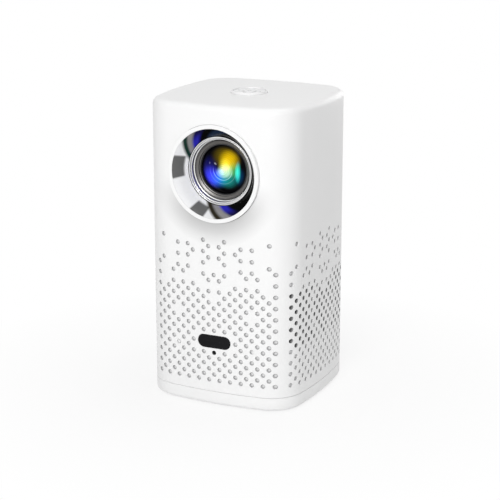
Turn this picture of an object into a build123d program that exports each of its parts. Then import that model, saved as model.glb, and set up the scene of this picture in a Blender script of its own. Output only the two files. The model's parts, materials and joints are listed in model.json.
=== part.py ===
from build123d import *
import os
from math import hypot, sqrt

os.makedirs("parts", exist_ok=True)

# A tower projector with a disc drive in its foot. Millimetres, +Z up, the lens looks along -Y.
# The origin is the middle of the rectangle that the feet stand in, on the table.

# ---------------------------------------------------------------- the case
BODY_WIDTH = 145.0
BODY_DEPTH = 143.5
BODY_TOP = 265.0
BULGE_R = 328.0
CORNER_R = 30.0
TOP_EDGE_R = 6.0
WALL = 2.5
FOOT_HEIGHT = 1.0
FOOT_R = 7.5
SEAM_Z = 13.7
SEAM_GROOVE = 0.5
GROOVE_DEPTH = 1.0
BASE_EDGE = 3.5
BASE_WALL = 4.6
LIP_HEIGHT = 3.0
FLOOR = 2.5
SHELL_GAP = 0.2
SLIDE_GAP = 0.3
POST_FROM_SIDE = 14.2
POST_FROM_END = 12.0
POST_R = 4.0
SCREW_R = 1.4
BOSS_R = 3.0

# Round pieces that stay out of sight are drawn with flat sides, to keep the model light.
HIDDEN_SIDES = 24
POST_SIDES = 8

# ---------------------------------------------------------------- holes moulded through the walls
HOLE_PITCH = 5.0
HOLE_R = 2.0
FIRST_ROW_Z = 23.9
RECEIVER_ROW = 5

# ---------------------------------------------------------------- the lens and its cone
LENS_Z = 206.7
RIM_R = 42.0
RIM_PROUD = 0.95
RIM_WIDTH = 3.6
CONE_INNER_R = 30.0
LIP_R = 29.5
LIP_RECESS = 13.2
MOUNT_BORE_R = 26.1
MOUNT_BACK_Y = -30.0
MOUNT_WEB = 3.0
MOUNT_FLANGE = 60.0
RING_R = 25.4
RING_RECESS = 19.1
RING_BEVEL = 1.6
CELL_R = 22.0
CELL_RECESS = 20.0
CELL_BACK_Y = -24.0
GLASS_R = 21.2
GLASS_THICK = 6.0
GLASS_DOME_R = 62.0
GLASS_DOME = 2.0
REAR_GLASS_THICK = 4.0
FIT_GAP = 0.2

# ---------------------------------------------------------------- the light engine
ENGINE_HALF_WIDTH = 44.0
ENGINE_FRONT_Y = MOUNT_BACK_Y
ENGINE_BACK_Y = 56.0
ENGINE_TOP_Z = 246.0
ENGINE_WALL = 2.0
MIRROR_THICK = 2.0
MIRROR_WIDTH = 78.0
FRESNEL_THICK = 2.0
PANEL_FRAME = 4.0
PANEL_THICK = 2.0
PANEL_BORDER = 9.0
PANEL_Z = 140.0

# ---------------------------------------------------------------- the lamp, its heat sink and fan
SHELF_Z = 58.0
SHEET = 1.5
SINK_HEIGHT = 59.5
SINK_BASE = 4.0
SINK_HALF_WIDTH = 38.0
SINK_HALF_DEPTH = 36.0
FIN_COUNT = 15
FIN_THICK = 1.4
LAMP_PLATE = 24.0
LAMP_SEAT_R = 17.0
FAN_SIZE = 60.0
FAN_DEPTH = 15.0
FAN_FRONT_Y = 44.0
FAN_Z = 88.0
FAN_HOLE_PITCH = 50.0
FAN_BORE_R = 28.0
ROTOR_R = 27.0
ROTOR_HUB_R = 12.0
BLADES = 7

# ---------------------------------------------------------------- the speaker
SPEAKER_Z = 81.4
SPEAKER_R = 28.0
SPEAKER_FACE_X = 66.0
SPEAKER_DEPTH = 16.0
MAGNET_R = 14.0
MAGNET_THICK = 9.0

# ---------------------------------------------------------------- the disc drive
DISC_R = 60.0
DRIVE_Z = 24.0
DRIVE_SHEET = 1.0
DRIVE_HEIGHT = 17.0
DRIVE_HALF_WIDTH = 65.2
DRIVE_HALF_DEPTH = 63.0
DRIVE_CORNER = 22.0
GUIDE_THICK = 1.6
RUNNER_THICK = 1.0
RUNNER_HEIGHT = 7.0
RUNNER_FRONT_Y = -46.0
RUNNER_LENGTH = 96.0
RUNNER_GAP = 0.4
TRAY_Z = 27.5
TRAY_HEIGHT = 8.5
TRAY_CORNER_R = 27.0
TRAY_WALL = 3.0
DISC_GAP = 0.6
POCKET_DEPTH = 1.8
POCKET_FLOOR = 1.2
DOOR_GAP = 0.3
DOOR_Z = 26.7
DOOR_HEIGHT = 11.9
DECK_HALF_WIDTH = 34.0
DECK_FRONT_Y = -24.0
DECK_BACK_Y = 64.0
RIB = 1.5
WELL_R = 15.5
WELL_BACK_Y = 60.0
SPINDLE_MOTOR_R = 12.5
SPINDLE_MOTOR_HEIGHT = 4.3
PLATTER_R = 14.0
HUB_R = 7.35
HUB_HEIGHT = 2.0
DISC_LIFT = 0.8
SLED_HALF = 6.0
SLED_WIDTH = 30.0
SLED_Y = 24.0
OBJECTIVE_R = 3.5
ROD_R = 1.0
ROD_X = 12.5
SCREW_X = 21.0
LEAD_SCREW_R = 1.2
ROD_Z = 31.0
TAB = 1.4
EJECT_X = 40.0
EJECT_WIDTH = 8.0
EJECT_HEIGHT = 3.0
EJECT_PROUD = 0.6

# ---------------------------------------------------------------- boards and sockets
BOARD = 1.6
BOARD_Y = -62.0
BOARD_HALF_WIDTH = 42.0
BOARD_BOTTOM_Z = 46.0
BOARD_TOP_Z = 156.0
BOARD_BOSS_X = 37.0
BOARD_BOSS_INSET = 6.0
SOCKET_BOARD_Z = 44.5
SOCKET_BOARD_HALF_WIDTH = 41.0
PANEL_HALF_WIDTH = 44.0
PANEL_LOW_Z = 43.0
PANEL_HIGH_Z = 56.4
SOCKET_PLATE_SINK = 0.9
SOCKET_PLATE_THICK = 1.2
SOCKET_DEPTH = 12.0
SOCKET_WALL = 0.8
VIDEO_X = -4.0
VIDEO_WIDTH = 14.0
VIDEO_HEIGHT = 4.8
DATA_X = (15.0, 31.0)
DATA_WIDTH = 12.4
DATA_HEIGHT = 5.1
JACK_X = -18.0
JACK_R = 1.8
INLET_X = -33.0
INLET_R = 2.8

# ---------------------------------------------------------------- the key pad on top and the front plate
PAD_R = 15.9
PAD_PROUD = 2.0
PAD_WALL = 1.3
KEY_GAP = 0.3
KEY_TRAVEL = 0.5
POWER_R = 5.2
KEY_INNER_R = 6.0
KEY_THICK = 3.8
STEM = 3.0
STEM_AT = 10.0
SWITCH_HEIGHT = 2.0
KEY_BOARD_Z = 255.9
KEY_BOARD_HALF = (23.0, 14.0)
KEY_POST_X = 20.0
PLATE_ROW = 7
PLATE_WIDTH = 31.0
PLATE_HEIGHT = 11.5
PLATE_RECESS = 0.9
PLATE_PROUD = 0.3
INSERT_R = 6.0
THREAD_R = 3.175
INSERT_LENGTH = 9.0

HALF_WIDTH = BODY_WIDTH / 2
HALF_DEPTH = BODY_DEPTH / 2
FRONT_Y = -HALF_DEPTH


# ---------------------------------------------------------------- plain shapes
def save(name, shape):
    export_step(shape, f"parts/{name}.step")


def block(low, high):
    """Rectangular block between two corners."""
    size = [b - a for a, b in zip(low, high)]
    middle = [(a + b) / 2 for a, b in zip(low, high)]
    return Pos(*middle) * Box(*size)


def rod(axis, radius, start, end, at):
    """Cylinder along x, y or z from start to end, at the two other coordinates in their order."""
    middle = (start + end) / 2
    length = end - start
    if axis == "x":
        return Pos(middle, at[0], at[1]) * Rot(0, 90, 0) * Cylinder(radius, length)
    if axis == "y":
        return Pos(at[0], middle, at[1]) * Rot(90, 0, 0) * Cylinder(radius, length)
    return Pos(at[0], at[1], middle) * Cylinder(radius, length)


def flat_sided(axis, radius, start, end, at=(0, 0), sides=HIDDEN_SIDES):
    """Prism with many flat sides, for a round piece that stays out of sight."""
    prism = extrude(RegularPolygon(radius, sides), amount=end - start)
    turn = {"x": Rot(0, 90, 0), "y": Rot(-90, 0, 0), "z": Rot(0, 0, 0)}[axis]
    place = {"x": (start, *at), "y": (at[0], start, at[-1]), "z": (*at, start)}[axis]
    return Pos(*place) * turn * prism


def turned(axis, profile, at=(0, 0)):
    """Solid turned about x, y or z; the profile lists (radius, place along the axis)."""
    if axis == "x":
        face = make_face(Polyline(*[(place, radius) for radius, place in profile], close=True))
        return Pos(0, at[0], at[1]) * revolve(face, Axis.X)
    face = make_face(Polyline(*profile, close=True))
    if axis == "y":
        return Pos(at[0], 0, at[1]) * revolve(face, Axis.Y)
    return Pos(at[0], at[1], 0) * revolve(Plane.XZ * face, Axis.Z)


def corner_centre():
    """Centre of the front right corner arc, which runs smoothly into the bulged front and side."""
    front = (0, BULGE_R - HALF_DEPTH)
    side = (HALF_WIDTH - BULGE_R, 0)
    run = (side[0] - front[0], side[1] - front[1])
    apart = hypot(*run)
    rise = sqrt((BULGE_R - CORNER_R) ** 2 - (apart / 2) ** 2) / apart
    return (
        (front[0] + side[0]) / 2 - run[1] * rise,
        (front[1] + side[1]) / 2 + run[0] * rise,
    )


def outline(inset):
    """Plan of the case, drawn in evenly by inset: four bulged sides and four corner arcs."""
    centre = corner_centre()
    to_front = (centre[0], centre[1] - (BULGE_R - HALF_DEPTH))
    to_side = (centre[0] - (HALF_WIDTH - BULGE_R), centre[1])
    ways = [[part / hypot(*way) for part in way] for way in (to_front, to_side)]
    middle = [ways[0][i] + ways[1][i] for i in (0, 1)]
    ways.append([part / hypot(*middle) for part in middle])
    radius = CORNER_R - inset
    front, side, bend = [(centre[0] + way[0] * radius, centre[1] + way[1] * radius) for way in ways]
    arcs = []
    for sx in (1, -1):
        arcs.append(
            ThreePointArc(
                (sx * side[0], side[1]), (sx * (HALF_WIDTH - inset), 0), (sx * side[0], -side[1])
            )
        )
        arcs.append(
            ThreePointArc(
                (-front[0], sx * front[1]), (0, sx * (inset - HALF_DEPTH)), (front[0], sx * front[1])
            )
        )
        for sy in (1, -1):
            points = [(sx * x, sy * y) for x, y in (front, bend, side)]
            arcs.append(ThreePointArc(*points))
    return make_face(arcs)


def slab(inset, bottom, top):
    """Upright prism on the case's plan."""
    return Pos(0, 0, bottom) * extrude(outline(inset), amount=top - bottom, dir=(0, 0, 1))


def bulge(across, radius_from):
    """How far the bulged wall has fallen back at a distance from its middle."""
    return radius_from - sqrt(radius_from**2 - across**2)


def four(x, y):
    return [(sx * x, sy * y) for sx in (1, -1) for sy in (1, -1)]


def posts(inset=0):
    """Places of the four posts under the drive's corners, which screw the foot to the case."""
    return four(DRIVE_HALF_WIDTH - POST_FROM_SIDE - inset, DRIVE_HALF_DEPTH - POST_FROM_END - inset)


def row_z(row):
    return FIRST_ROW_Z + HOLE_PITCH * row


# ---------------------------------------------------------------- heights and places that follow
FLOOR_Z = FOOT_HEIGHT + FLOOR
BOSS_TOP_Z = DRIVE_Z
COVER_Z = DRIVE_Z + DRIVE_HEIGHT - DRIVE_SHEET
PAD_TOP_Z = BODY_TOP + PAD_PROUD
CEILING_Z = BODY_TOP - WALL
SINK_Z = SHELF_Z + SHEET
ENGINE_Z = SINK_Z + SINK_HEIGHT
ENGINE_MIDDLE_Y = (ENGINE_FRONT_Y + ENGINE_BACK_Y) / 2
# The roof's slope: y + z is the same all along it, and the mirror hangs under it.
ROOF_SUM = ENGINE_MIDDLE_Y + LENS_Z + (ENGINE_WALL + MIRROR_THICK) * sqrt(2)
TRAY_HALF_WIDTH = DRIVE_HALF_WIDTH - GUIDE_THICK - RUNNER_THICK - 2 * RUNNER_GAP
SLOT_HALF_WIDTH = TRAY_HALF_WIDTH + RUNNER_THICK + 2 * RUNNER_GAP + DOOR_GAP
TRAY_TOP_Z = TRAY_Z + TRAY_HEIGHT
POCKET_Z = TRAY_TOP_Z - POCKET_DEPTH
DISC_Z = POCKET_Z + DISC_LIFT
DECK_TOP_Z = TRAY_Z + DRIVE_SHEET
MOTOR_TOP_Z = DECK_TOP_Z + SPINDLE_MOTOR_HEIGHT
MOUNT_FRONT_Y = FRONT_Y + LIP_RECESS
KEY_BOARD_TOP_Z = KEY_BOARD_Z + BOARD
STEM_Z = KEY_BOARD_TOP_Z + SWITCH_HEIGHT + KEY_TRAVEL + FIT_GAP
SOCKET_Z = SOCKET_BOARD_Z + BOARD


# ---------------------------------------------------------------- case
def housing():
    """One-piece case, open below, with the lens opening, the tray slot and the socket window."""
    outer = slab(0, SEAM_Z, BODY_TOP)
    outer = fillet(outer.edges().group_by(Axis.Z)[-1], TOP_EDGE_R)
    inner = slab(WALL, SEAM_Z - 1, CEILING_Z)
    shell = outer - inner
    cuts = [
        rod("y", RIM_R + SHELL_GAP, FRONT_Y - 5, MOUNT_BACK_Y, (0, LENS_Z)),
        rod("z", PAD_R + SHELL_GAP, CEILING_Z - 1, BODY_TOP + 1, (0, 0)),
        flat_sided("y", HOLE_R, FRONT_Y - 1, BOARD_Y, (0, row_z(RECEIVER_ROW)), POST_SIDES),
        front_plate_blank(PLATE_RECESS, SHELL_GAP),
        tray_slot(),
        socket_window(SHELL_GAP),
    ]
    for cut in cuts:
        shell -= cut
    return shell + case_bosses()


def case_bosses():
    """Screw posts in the lower corners, seats for fan, board, speaker and key board."""
    bosses = Part()
    for x, y in posts():
        post = flat_sided("z", POST_R, SEAM_Z + SEAM_GROOVE, BOSS_TOP_Z, (x, y), POST_SIDES)
        reach = BODY_WIDTH
        web = Pos(x, y, 0) * Rot(0, 0, 45 if x * y > 0 else -45)
        web = web * block((-reach, -1, SEAM_Z + LIP_HEIGHT + 1), (reach, 1, BOSS_TOP_Z))
        web = web & block(
            (min(x, 2 * x), min(y, 2 * y), SEAM_Z), (max(x, 2 * x), max(y, 2 * y), BOSS_TOP_Z)
        )
        web = web & slab(WALL / 2, SEAM_Z, BOSS_TOP_Z)
        bosses += post + web
        bosses -= flat_sided("z", SCREW_R, SEAM_Z, BOSS_TOP_Z - 2, (x, y), POST_SIDES)
    fan_back_y = FAN_FRONT_Y + FAN_DEPTH
    for x, dz in four(FAN_HOLE_PITCH / 2, FAN_HOLE_PITCH / 2):
        wall_y = HALF_DEPTH - WALL / 2 - bulge(x, BULGE_R)
        bosses += flat_sided("y", BOSS_R, fan_back_y, wall_y, (x, FAN_Z + dz), POST_SIDES)
    for x, z in board_bosses():
        wall_y = FRONT_Y + WALL / 2 + bulge(x, BULGE_R)
        bosses += flat_sided("y", BOSS_R, wall_y, BOARD_Y, (x, z), POST_SIDES)
    wall_x = HALF_WIDTH - WALL / 2 - bulge(SPEAKER_R, BULGE_R)
    seat = flat_sided("x", SPEAKER_R, SPEAKER_FACE_X, wall_x, (0, SPEAKER_Z))
    bosses += seat - flat_sided("x", SPEAKER_R - 3, SPEAKER_FACE_X, wall_x, (0, SPEAKER_Z))
    for x in (KEY_POST_X, -KEY_POST_X):
        bosses += flat_sided("z", BOSS_R, KEY_BOARD_TOP_Z, CEILING_Z + 1, (x, 0), POST_SIDES)
    return bosses


def board_bosses():
    middle = (BOARD_TOP_Z + BOARD_BOTTOM_Z) / 2
    rise = (BOARD_TOP_Z - BOARD_BOTTOM_Z) / 2 - BOARD_BOSS_INSET
    return [(x, middle + dz) for x, dz in four(BOARD_BOSS_X, rise)]


def tray_slot():
    """The slot in the back wall, wide enough for the disc, so it runs into both corners."""
    return block(
        (-SLOT_HALF_WIDTH, HALF_DEPTH / 2, DOOR_Z - DOOR_GAP),
        (SLOT_HALF_WIDTH, BODY_DEPTH, DOOR_Z + DOOR_HEIGHT + DOOR_GAP),
    )


def socket_window(gap):
    """The rounded window in the back wall that the socket plate fills."""
    middle = (PANEL_LOW_Z + PANEL_HIGH_Z) / 2
    shape = RectangleRounded(
        2 * (PANEL_HALF_WIDTH + gap), PANEL_HIGH_Z - PANEL_LOW_Z + 2 * gap, 3.0 + gap
    )
    return extrude(Plane.XZ * Pos(0, middle) * shape, amount=BODY_DEPTH, dir=(0, 1, 0))


def front_plate_blank(depth, grow):
    """The pill-shaped plate or its recess: it follows the bulge of the front wall."""
    pill = SlotOverall(PLATE_WIDTH + 2 * grow, PLATE_HEIGHT + 2 * grow)
    prism = extrude(Plane.XZ * Pos(0, row_z(PLATE_ROW)) * pill, amount=BODY_DEPTH, dir=(0, -1, 0))
    low, high = row_z(PLATE_ROW) - PLATE_HEIGHT, row_z(PLATE_ROW) + PLATE_HEIGHT
    return prism & (slab(-PLATE_PROUD, low, high) - slab(depth, low, high))


def base_cover():
    """The foot of the case: floor, wall with a groove under the seam, lip, and posts inside."""
    groove_z = SEAM_Z - SEAM_GROOVE
    body = slab(0, FOOT_HEIGHT, groove_z)
    body = chamfer(body.edges().group_by(Axis.Z)[0], BASE_EDGE)
    body += slab(GROOVE_DEPTH, groove_z, SEAM_Z)
    body += slab(WALL + SHELL_GAP, SEAM_Z, SEAM_Z + LIP_HEIGHT)
    body -= slab(BASE_WALL, FLOOR_Z, SEAM_Z + LIP_HEIGHT)
    for x, y in posts():
        body += flat_sided("z", POST_R, FLOOR_Z, SEAM_Z + SEAM_GROOVE, (x, y), POST_SIDES)
    boss = RegularPolygon(INSERT_R + 2.5, 6)
    body += Pos(0, 0, FLOOR_Z) * extrude(boss, amount=INSERT_LENGTH - FLOOR)
    return body - tripod_socket(INSERT_LENGTH + 1)


def tripod_socket(length):
    """Six-sided blank of the threaded brass bush in the floor."""
    return Pos(0, 0, FOOT_HEIGHT) * extrude(RegularPolygon(INSERT_R, 6), amount=length)


def tripod_bush():
    return tripod_socket(INSERT_LENGTH) - rod("z", THREAD_R, 0, 2 * INSERT_LENGTH, (0, 0))


def feet():
    """Four rubber discs under the screws."""
    discs = Part()
    for x, y in posts(1):
        discs += flat_sided("z", FOOT_R, 0, FOOT_HEIGHT, (x, y), 2 * POST_SIDES)
    return discs


# ---------------------------------------------------------------- lens
def lens_bezel():
    """White rim, standing square to the lens, and the polished cone inside it, in one ring."""
    rim_y = FRONT_Y - RIM_PROUD
    cone_y = MOUNT_FRONT_Y
    profile = [(RIM_R - RIM_WIDTH, rim_y), (RIM_R, rim_y), (RIM_R, cone_y), (CONE_INNER_R, cone_y)]
    return turned("y", profile, (0, LENS_Z))


def lens_mount():
    """Fixed barrel with a bright front lip and a square flange screwed to the light engine."""
    web_y = MOUNT_BACK_Y - MOUNT_WEB
    bore = CELL_R + 2 * FIT_GAP
    profile = [
        (MOUNT_BORE_R, MOUNT_FRONT_Y),
        (LIP_R, MOUNT_FRONT_Y),
        (LIP_R, MOUNT_BACK_Y),
        (bore, MOUNT_BACK_Y),
        (bore, web_y),
        (MOUNT_BORE_R, web_y),
    ]
    half = MOUNT_FLANGE / 2
    flange = block((-half, web_y, LENS_Z - half), (half, MOUNT_BACK_Y, LENS_Z + half))
    flange -= rod("y", LIP_R - 1, web_y - 1, MOUNT_BACK_Y + 1, (0, LENS_Z))
    return turned("y", profile, (0, LENS_Z)) + flange


def focus_ring():
    """Turning ring with a bevelled satin front; it drives the lens cell in and out."""
    front_y = FRONT_Y + RING_RECESS - RING_BEVEL
    bore = CELL_R + FIT_GAP
    profile = [
        (RING_R, front_y),
        (RING_R, MOUNT_BACK_Y - MOUNT_WEB - SLIDE_GAP),
        (bore, MOUNT_BACK_Y - MOUNT_WEB - SLIDE_GAP),
        (bore, front_y + RING_BEVEL),
    ]
    return turned("y", profile, (0, LENS_Z))


def lens_cell():
    """Inner barrel that holds the glass; it slides in the ring and the engine's front wall."""
    front_y = FRONT_Y + CELL_RECESS
    bore = GLASS_R + FIT_GAP
    profile = [(bore, front_y), (CELL_R, front_y), (CELL_R, CELL_BACK_Y), (bore, CELL_BACK_Y)]
    return turned("y", profile, (0, LENS_Z))


def front_glass():
    """Front element: flat back on its seat, shallow dome to the front, drawn as one slope."""
    front_y = FRONT_Y + CELL_RECESS
    half = GLASS_R / 2
    profile = [
        (0, front_y + bulge(half, GLASS_DOME_R) - GLASS_DOME),
        (half, front_y + bulge(half, GLASS_DOME_R) - GLASS_DOME),
        (GLASS_R, front_y + bulge(GLASS_R, GLASS_DOME_R) - GLASS_DOME),
        (GLASS_R, front_y + GLASS_THICK),
        (0, front_y + GLASS_THICK),
    ]
    return turned("y", profile, (0, LENS_Z))


def rear_glass():
    back_y = CELL_BACK_Y - 1
    return flat_sided("y", GLASS_R, back_y - REAR_GLASS_THICK, back_y, (0, LENS_Z))


# ---------------------------------------------------------------- light engine
def prism_x(points, half_width):
    """Side profile in (y, z), run across the engine."""
    face = Plane.YZ * make_face(Polyline(*points, close=True))
    return extrude(face, amount=half_width, both=True)


def engine_profile(wall):
    """Side of the engine box, drawn in by wall; the roof slopes at 45 degrees over the mirror."""
    slope = ROOF_SUM - wall * sqrt(2)
    front, back = ENGINE_FRONT_Y + wall, ENGINE_BACK_Y - wall
    low, high = ENGINE_Z + wall, ENGINE_TOP_Z - wall
    return [(front, low), (back, low), (back, slope - back), (slope - high, high), (front, high)]


def engine_box():
    """Black box from the lamp to the lens, with steps inside for the panel and its sheets."""
    body = prism_x(engine_profile(0), ENGINE_HALF_WIDTH)
    steps = [(ENGINE_WALL + 3, ENGINE_Z + ENGINE_WALL), (ENGINE_WALL, PANEL_Z)]
    room = prism_x(engine_profile(ENGINE_WALL), ENGINE_HALF_WIDTH - ENGINE_WALL)
    for inset, low in steps:
        part = block(
            (-ENGINE_HALF_WIDTH + inset, ENGINE_FRONT_Y + inset, low),
            (ENGINE_HALF_WIDTH - inset, ENGINE_BACK_Y - inset, ENGINE_TOP_Z),
        )
        body -= part & room
    body -= rod("y", CELL_R + 2, ENGINE_FRONT_Y - 1, ENGINE_FRONT_Y + 3, (0, LENS_Z))
    return body - flat_sided("z", LAMP_SEAT_R, ENGINE_Z, PANEL_Z - 5, (0, ENGINE_MIDDLE_Y))


def mirror():
    """Front-silvered mirror against the sloping roof."""
    back = ROOF_SUM - ENGINE_WALL * sqrt(2)
    front = back - MIRROR_THICK * sqrt(2)
    low_y, high_z = ENGINE_BACK_Y - ENGINE_WALL - 2, ENGINE_TOP_Z - ENGINE_WALL - 6
    step = MIRROR_THICK / sqrt(2)
    points = [
        (low_y, back - low_y),
        (low_y - step, front - low_y + step),
        (front - high_z + step, high_z - step),
        (back - high_z, high_z),
    ]
    return prism_x(points, MIRROR_WIDTH / 2)


def sheet_at(z, thick, window):
    """Flat sheet resting on the engine's step, with an optional window in it."""
    inset = ENGINE_WALL + 2 * FIT_GAP
    x, low_y, high_y = ENGINE_HALF_WIDTH - inset, ENGINE_FRONT_Y + inset, ENGINE_BACK_Y - inset
    sheet = block((-x, low_y, z), (x, high_y, z + thick))
    if window:
        sheet -= block(
            (window - x, low_y + window, z - 1), (x - window, high_y - window, z + thick + 1)
        )
    return sheet


def condenser_lens():
    """Stubby glass cone that gathers the lamp's light."""
    z = ENGINE_Z + ENGINE_WALL
    foot = flat_sided("z", LAMP_SEAT_R + 2, z, z + 1.5, (0, ENGINE_MIDDLE_Y))
    cone = extrude(RegularPolygon(LAMP_SEAT_R, HIDDEN_SIDES), amount=10, taper=32)
    return foot + Pos(0, ENGINE_MIDDLE_Y, z + 1.5) * cone


def lamp():
    """Lamp plate with its square emitter."""
    half, chip = LAMP_PLATE / 2, 5.0
    y, z = ENGINE_MIDDLE_Y, ENGINE_Z
    half = min(half, LAMP_SEAT_R / sqrt(2) - 0.5)
    plate = block((-half, y - half, z), (half, y + half, z + 1.2))
    return plate + block((-chip, y - chip, z + 1.2), (chip, y + chip, z + ENGINE_WALL - 0.2))


def heat_sink():
    """Finned aluminium block; its top plate closes the engine and carries the lamp."""
    x, y = SINK_HALF_WIDTH, SINK_HALF_DEPTH
    top = ENGINE_Z
    body = block((-x, -y, top - SINK_BASE), (x, FAN_FRONT_Y - 1, top))
    pitch = (2 * x - FIN_THICK) / (FIN_COUNT - 1)
    for i in range(FIN_COUNT):
        left = -x + i * pitch
        body += block((left, -y, SINK_Z), (left + FIN_THICK, y, top - SINK_BASE))
    return body


def engine_bracket():
    """Bent sheet bridge over the drive that the heat sink stands on."""
    x, y = SINK_HALF_WIDTH + 1, SINK_HALF_DEPTH + 2
    low = DRIVE_Z + DRIVE_HEIGHT
    bridge = block((-x, -y, low), (x, y, SHELF_Z + SHEET))
    return bridge - block((SHEET - x, -y - 1, low - 1), (x - SHEET, y + 1, SHELF_Z))


def fan_frame():
    half = FAN_SIZE / 2
    back_y = FAN_FRONT_Y + FAN_DEPTH
    body = block((-half, FAN_FRONT_Y, FAN_Z - half), (half, back_y, FAN_Z + half))
    body -= flat_sided("y", FAN_BORE_R, FAN_FRONT_Y, back_y, (0, FAN_Z))
    arm_y = back_y - 1.5
    for turn in (0, 90):
        arm = block((-FAN_BORE_R - 1, arm_y, -1.5), (FAN_BORE_R + 1, back_y, 1.5))
        body += Pos(0, 0, FAN_Z) * Rot(0, turn + 45, 0) * arm
    return body + flat_sided("y", ROTOR_HUB_R, arm_y, back_y, (0, FAN_Z))


def fan_rotor():
    """Hub with curved-in blades, turning in the frame about the front-to-back axis."""
    front_y = FAN_FRONT_Y + 1
    back_y = FAN_FRONT_Y + FAN_DEPTH - 1.5 - SLIDE_GAP
    body = flat_sided("y", ROTOR_HUB_R, front_y, back_y, (0, FAN_Z))
    for i in range(BLADES):
        blade = Rot(0, 0, 38) * block((-6, -0.5, ROTOR_HUB_R - 1), (6, 0.5, ROTOR_R - 1))
        blade = Pos(0, (front_y + back_y) / 2, 0) * blade
        body += Pos(0, 0, FAN_Z) * Rot(0, 360 * i / BLADES, 0) * blade
    return body


# ---------------------------------------------------------------- speaker
def speaker_basket():
    """Steel basket: a flange on the case's seat and a pot behind it."""
    face, back, at = SPEAKER_FACE_X, SPEAKER_FACE_X - SPEAKER_DEPTH, (0, SPEAKER_Z)
    body = flat_sided("x", SPEAKER_R, face - SHEET, face, at)
    body += flat_sided("x", SPEAKER_R - 4, back, face - SHEET, at)
    return body - flat_sided("x", SPEAKER_R - 4 - SHEET, back + SHEET, face, at)


def speaker_cone():
    """Paper cone, wide end to the front, just inside the basket."""
    radius, face = SPEAKER_R - 4 - SHEET - FIT_GAP, SPEAKER_FACE_X - 2
    cone = Rot(0, -90, 0) * extrude(RegularPolygon(radius, HIDDEN_SIDES), amount=11, taper=50)
    return Pos(face, 0, SPEAKER_Z) * cone


def speaker_magnet():
    back = SPEAKER_FACE_X - SPEAKER_DEPTH
    return flat_sided("x", MAGNET_R, back - MAGNET_THICK, back, (0, SPEAKER_Z))


# ---------------------------------------------------------------- disc drive
def eight_sided(bottom, top):
    """Sheet with its four corners cut off, as the case's round corners need."""
    plate = Rectangle(2 * DRIVE_HALF_WIDTH, 2 * DRIVE_HALF_DEPTH)
    plate = chamfer(plate.vertices(), DRIVE_CORNER)
    return Pos(0, 0, bottom) * extrude(plate, amount=top - bottom)


def drive_pan():
    """Bottom sheet with its two upright guides for the runners."""
    pan = eight_sided(DRIVE_Z, DRIVE_Z + DRIVE_SHEET)
    inner = DRIVE_HALF_WIDTH - GUIDE_THICK
    length = DRIVE_HALF_DEPTH - DRIVE_CORNER
    for side in (1, -1):
        low, high = sorted((side * inner, side * DRIVE_HALF_WIDTH))
        pan += block((low, -length, DRIVE_Z), (high, length, COVER_Z))
    return pan


def drive_cover():
    """Top sheet of the drive, with four bent-up tabs under the socket board."""
    cover = eight_sided(COVER_Z, COVER_Z + DRIVE_SHEET)
    for x in (SOCKET_BOARD_HALF_WIDTH - 4, -SOCKET_BOARD_HALF_WIDTH + 4):
        for y in (42.0, 60.0):
            cover += block((x - 2, y - 1, COVER_Z), (x + 2, y + 1, SOCKET_BOARD_Z))
    return cover


def runner(side):
    """Steel runner between guide and tray; it follows the tray at half its travel."""
    inner = TRAY_HALF_WIDTH + RUNNER_GAP
    low, high = sorted((side * inner, side * (inner + RUNNER_THICK)))
    z = TRAY_Z + (TRAY_HEIGHT - RUNNER_HEIGHT) / 2
    return block(
        (low, RUNNER_FRONT_Y, z), (high, RUNNER_FRONT_Y + RUNNER_LENGTH, z + RUNNER_HEIGHT)
    )


def disc_tray():
    """Moulded tray: disc pocket above, room for the mechanism below, well for the laser."""
    x, inner_end = TRAY_HALF_WIDTH, -TRAY_HALF_WIDTH
    body = block((-x, inner_end, TRAY_Z), (x, BODY_DEPTH, TRAY_TOP_Z))
    body = fillet(body.edges().filter_by(Axis.Z).group_by(Axis.Y)[0], TRAY_CORNER_R)
    room = block((TRAY_WALL - x, inner_end + TRAY_WALL, 0), (x - TRAY_WALL, BODY_DEPTH, POCKET_Z))
    room = fillet(room.edges().filter_by(Axis.Z).group_by(Axis.Y)[0], TRAY_CORNER_R - TRAY_WALL)
    room &= slab(WALL + TRAY_WALL, 0, POCKET_Z - POCKET_FLOOR)
    body &= slab(WALL, TRAY_Z, TRAY_TOP_Z)
    body -= room
    body -= rod("z", DISC_R + DISC_GAP, POCKET_Z, TRAY_TOP_Z + 1, (0, 0))
    for side in (1, -1):
        rib_x = side * (DECK_HALF_WIDTH - RIB)
        body += block(
            (rib_x - RIB / 2, DECK_FRONT_Y, DECK_TOP_Z), (rib_x + RIB / 2, DECK_BACK_Y, POCKET_Z)
        )
    body -= rod("z", WELL_R, 0, TRAY_TOP_Z, (0, 0))
    body -= block((-WELL_R, 0, 0), (WELL_R, WELL_BACK_Y, POCKET_Z + 0.1))
    middle = TRAY_Z + TRAY_HEIGHT / 2
    return body - block(
        (EJECT_X - 5, HALF_DEPTH - 10, middle - 2.5), (EJECT_X + 5, BODY_DEPTH, middle + 2.5)
    )


def tray_door():
    """Piece of the case wall on the tray's end, curved as the wall and its corners are."""
    x, low, high = SLOT_HALF_WIDTH - DOOR_GAP, DOOR_Z, DOOR_Z + DOOR_HEIGHT
    door = block((-x, HALF_DEPTH / 2, low), (x, BODY_DEPTH, high)) & slab(0, low, high)
    door -= slab(WALL, low - 1, high + 1)
    middle = TRAY_Z + TRAY_HEIGHT / 2
    half = EJECT_HEIGHT / 2 + SLIDE_GAP
    reach = EJECT_WIDTH / 2 + SLIDE_GAP
    return door - block(
        (EJECT_X - reach, HALF_DEPTH / 2, middle - half), (EJECT_X + reach, BODY_DEPTH, middle + half)
    )


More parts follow.
